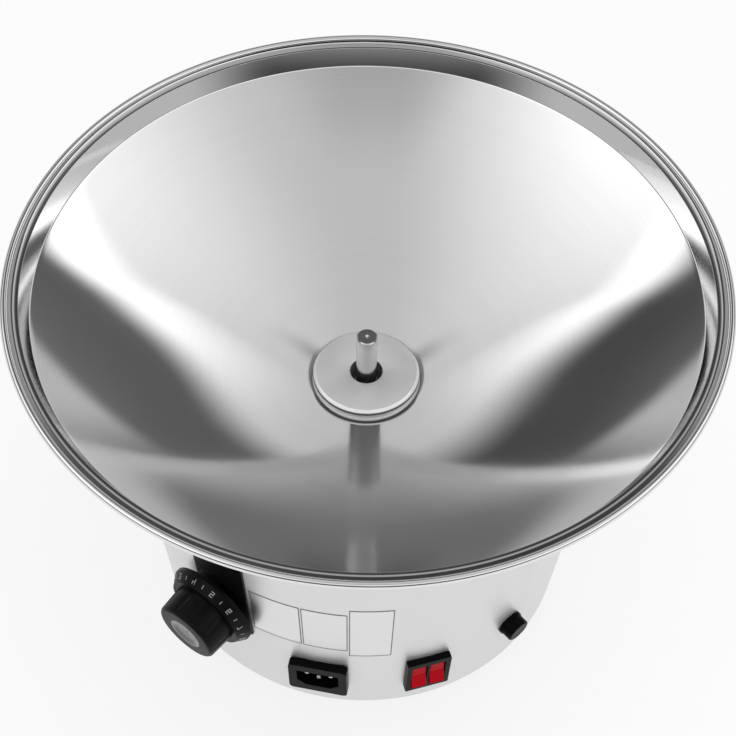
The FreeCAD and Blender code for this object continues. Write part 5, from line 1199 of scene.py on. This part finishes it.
def front_camera(scene):
    """Camera that looks down on the front of the fountain."""
    data = bpy.data.cameras.new("Camera")
    data.sensor_width = SENSOR
    data.lens = SENSOR * FOCAL_PIXELS / PICTURE
    data.shift_x = SHIFT_PIXELS / PICTURE
    data.clip_start = NEAREST
    camera = bpy.data.objects.new("Camera", data)
    camera.location = CAMERA_PLACE
    aim = Euler((math.radians(90.0 - CAMERA_DOWN), 0.0, 0.0)).to_matrix()
    roll = Matrix.Rotation(math.radians(CAMERA_ROLL), 3, "Z")
    camera.rotation_euler = (aim @ roll).to_euler()
    scene.collection.objects.link(camera)
    scene.camera = camera


class FOUNTAIN_OT_studio(bpy.types.Operator):
    """Sets the world, the floor, the lamp and the camera."""

    bl_idname = "fountain.studio"
    bl_label = "Studio"

    def execute(self, context):
        scene = context.scene
        s = settings("studio")
        scene.view_settings.view_transform = "Standard"
        studio_world(scene)
        pale_floor(s.shade)
        soft_lamp(scene, s.lamp)
        front_camera(scene)
        return {"FINISHED"}


GROUPS = {
    "fountain_bowl": FOUNTAIN_PG_bowl,
    "fountain_drum": FOUNTAIN_PG_drum,
    "fountain_dial": FOUNTAIN_PG_dial,
    "fountain_colours": FOUNTAIN_PG_colours,
    "fountain_studio": FOUNTAIN_PG_studio,
}
OPERATORS = (FOUNTAIN_OT_finishes, FOUNTAIN_OT_bowl, FOUNTAIN_OT_hub, FOUNTAIN_OT_drum,
             FOUNTAIN_OT_label, FOUNTAIN_OT_dial, FOUNTAIN_OT_studio)


class FOUNTAIN_PT_panel(bpy.types.Panel):
    """Buttons and settings of the fountain."""

    bl_idname = "FOUNTAIN_PT_panel"
    bl_label = "Chocolate fountain"
    bl_space_type = "VIEW_3D"
    bl_region_type = "UI"
    bl_category = "Fountain"

    def draw(self, context):
        for name in GROUPS:
            values = getattr(context.scene, name)
            box = self.layout.box()
            for key in values.__annotations__:
                box.prop(values, key)
        for operator in OPERATORS:
            self.layout.operator(operator.bl_idname)


def register():
    for name, cls in GROUPS.items():
        bpy.utils.register_class(cls)
        setattr(bpy.types.Scene, name, PointerProperty(type=cls))
    for cls in OPERATORS + (FOUNTAIN_PT_panel,):
        bpy.utils.register_class(cls)


def unregister():
    for cls in reversed(OPERATORS + (FOUNTAIN_PT_panel,)):
        bpy.utils.unregister_class(cls)
    for name, cls in GROUPS.items():
        delattr(bpy.types.Scene, name)
        bpy.utils.unregister_class(cls)


def main():
    register()
    bpy.ops.fountain.finishes()
    bpy.ops.fountain.bowl()
    bpy.ops.fountain.hub()
    bpy.ops.fountain.drum()
    bpy.ops.fountain.label()
    bpy.ops.fountain.dial()
    bpy.ops.fountain.studio()


if __name__ == "__main__":
    main()
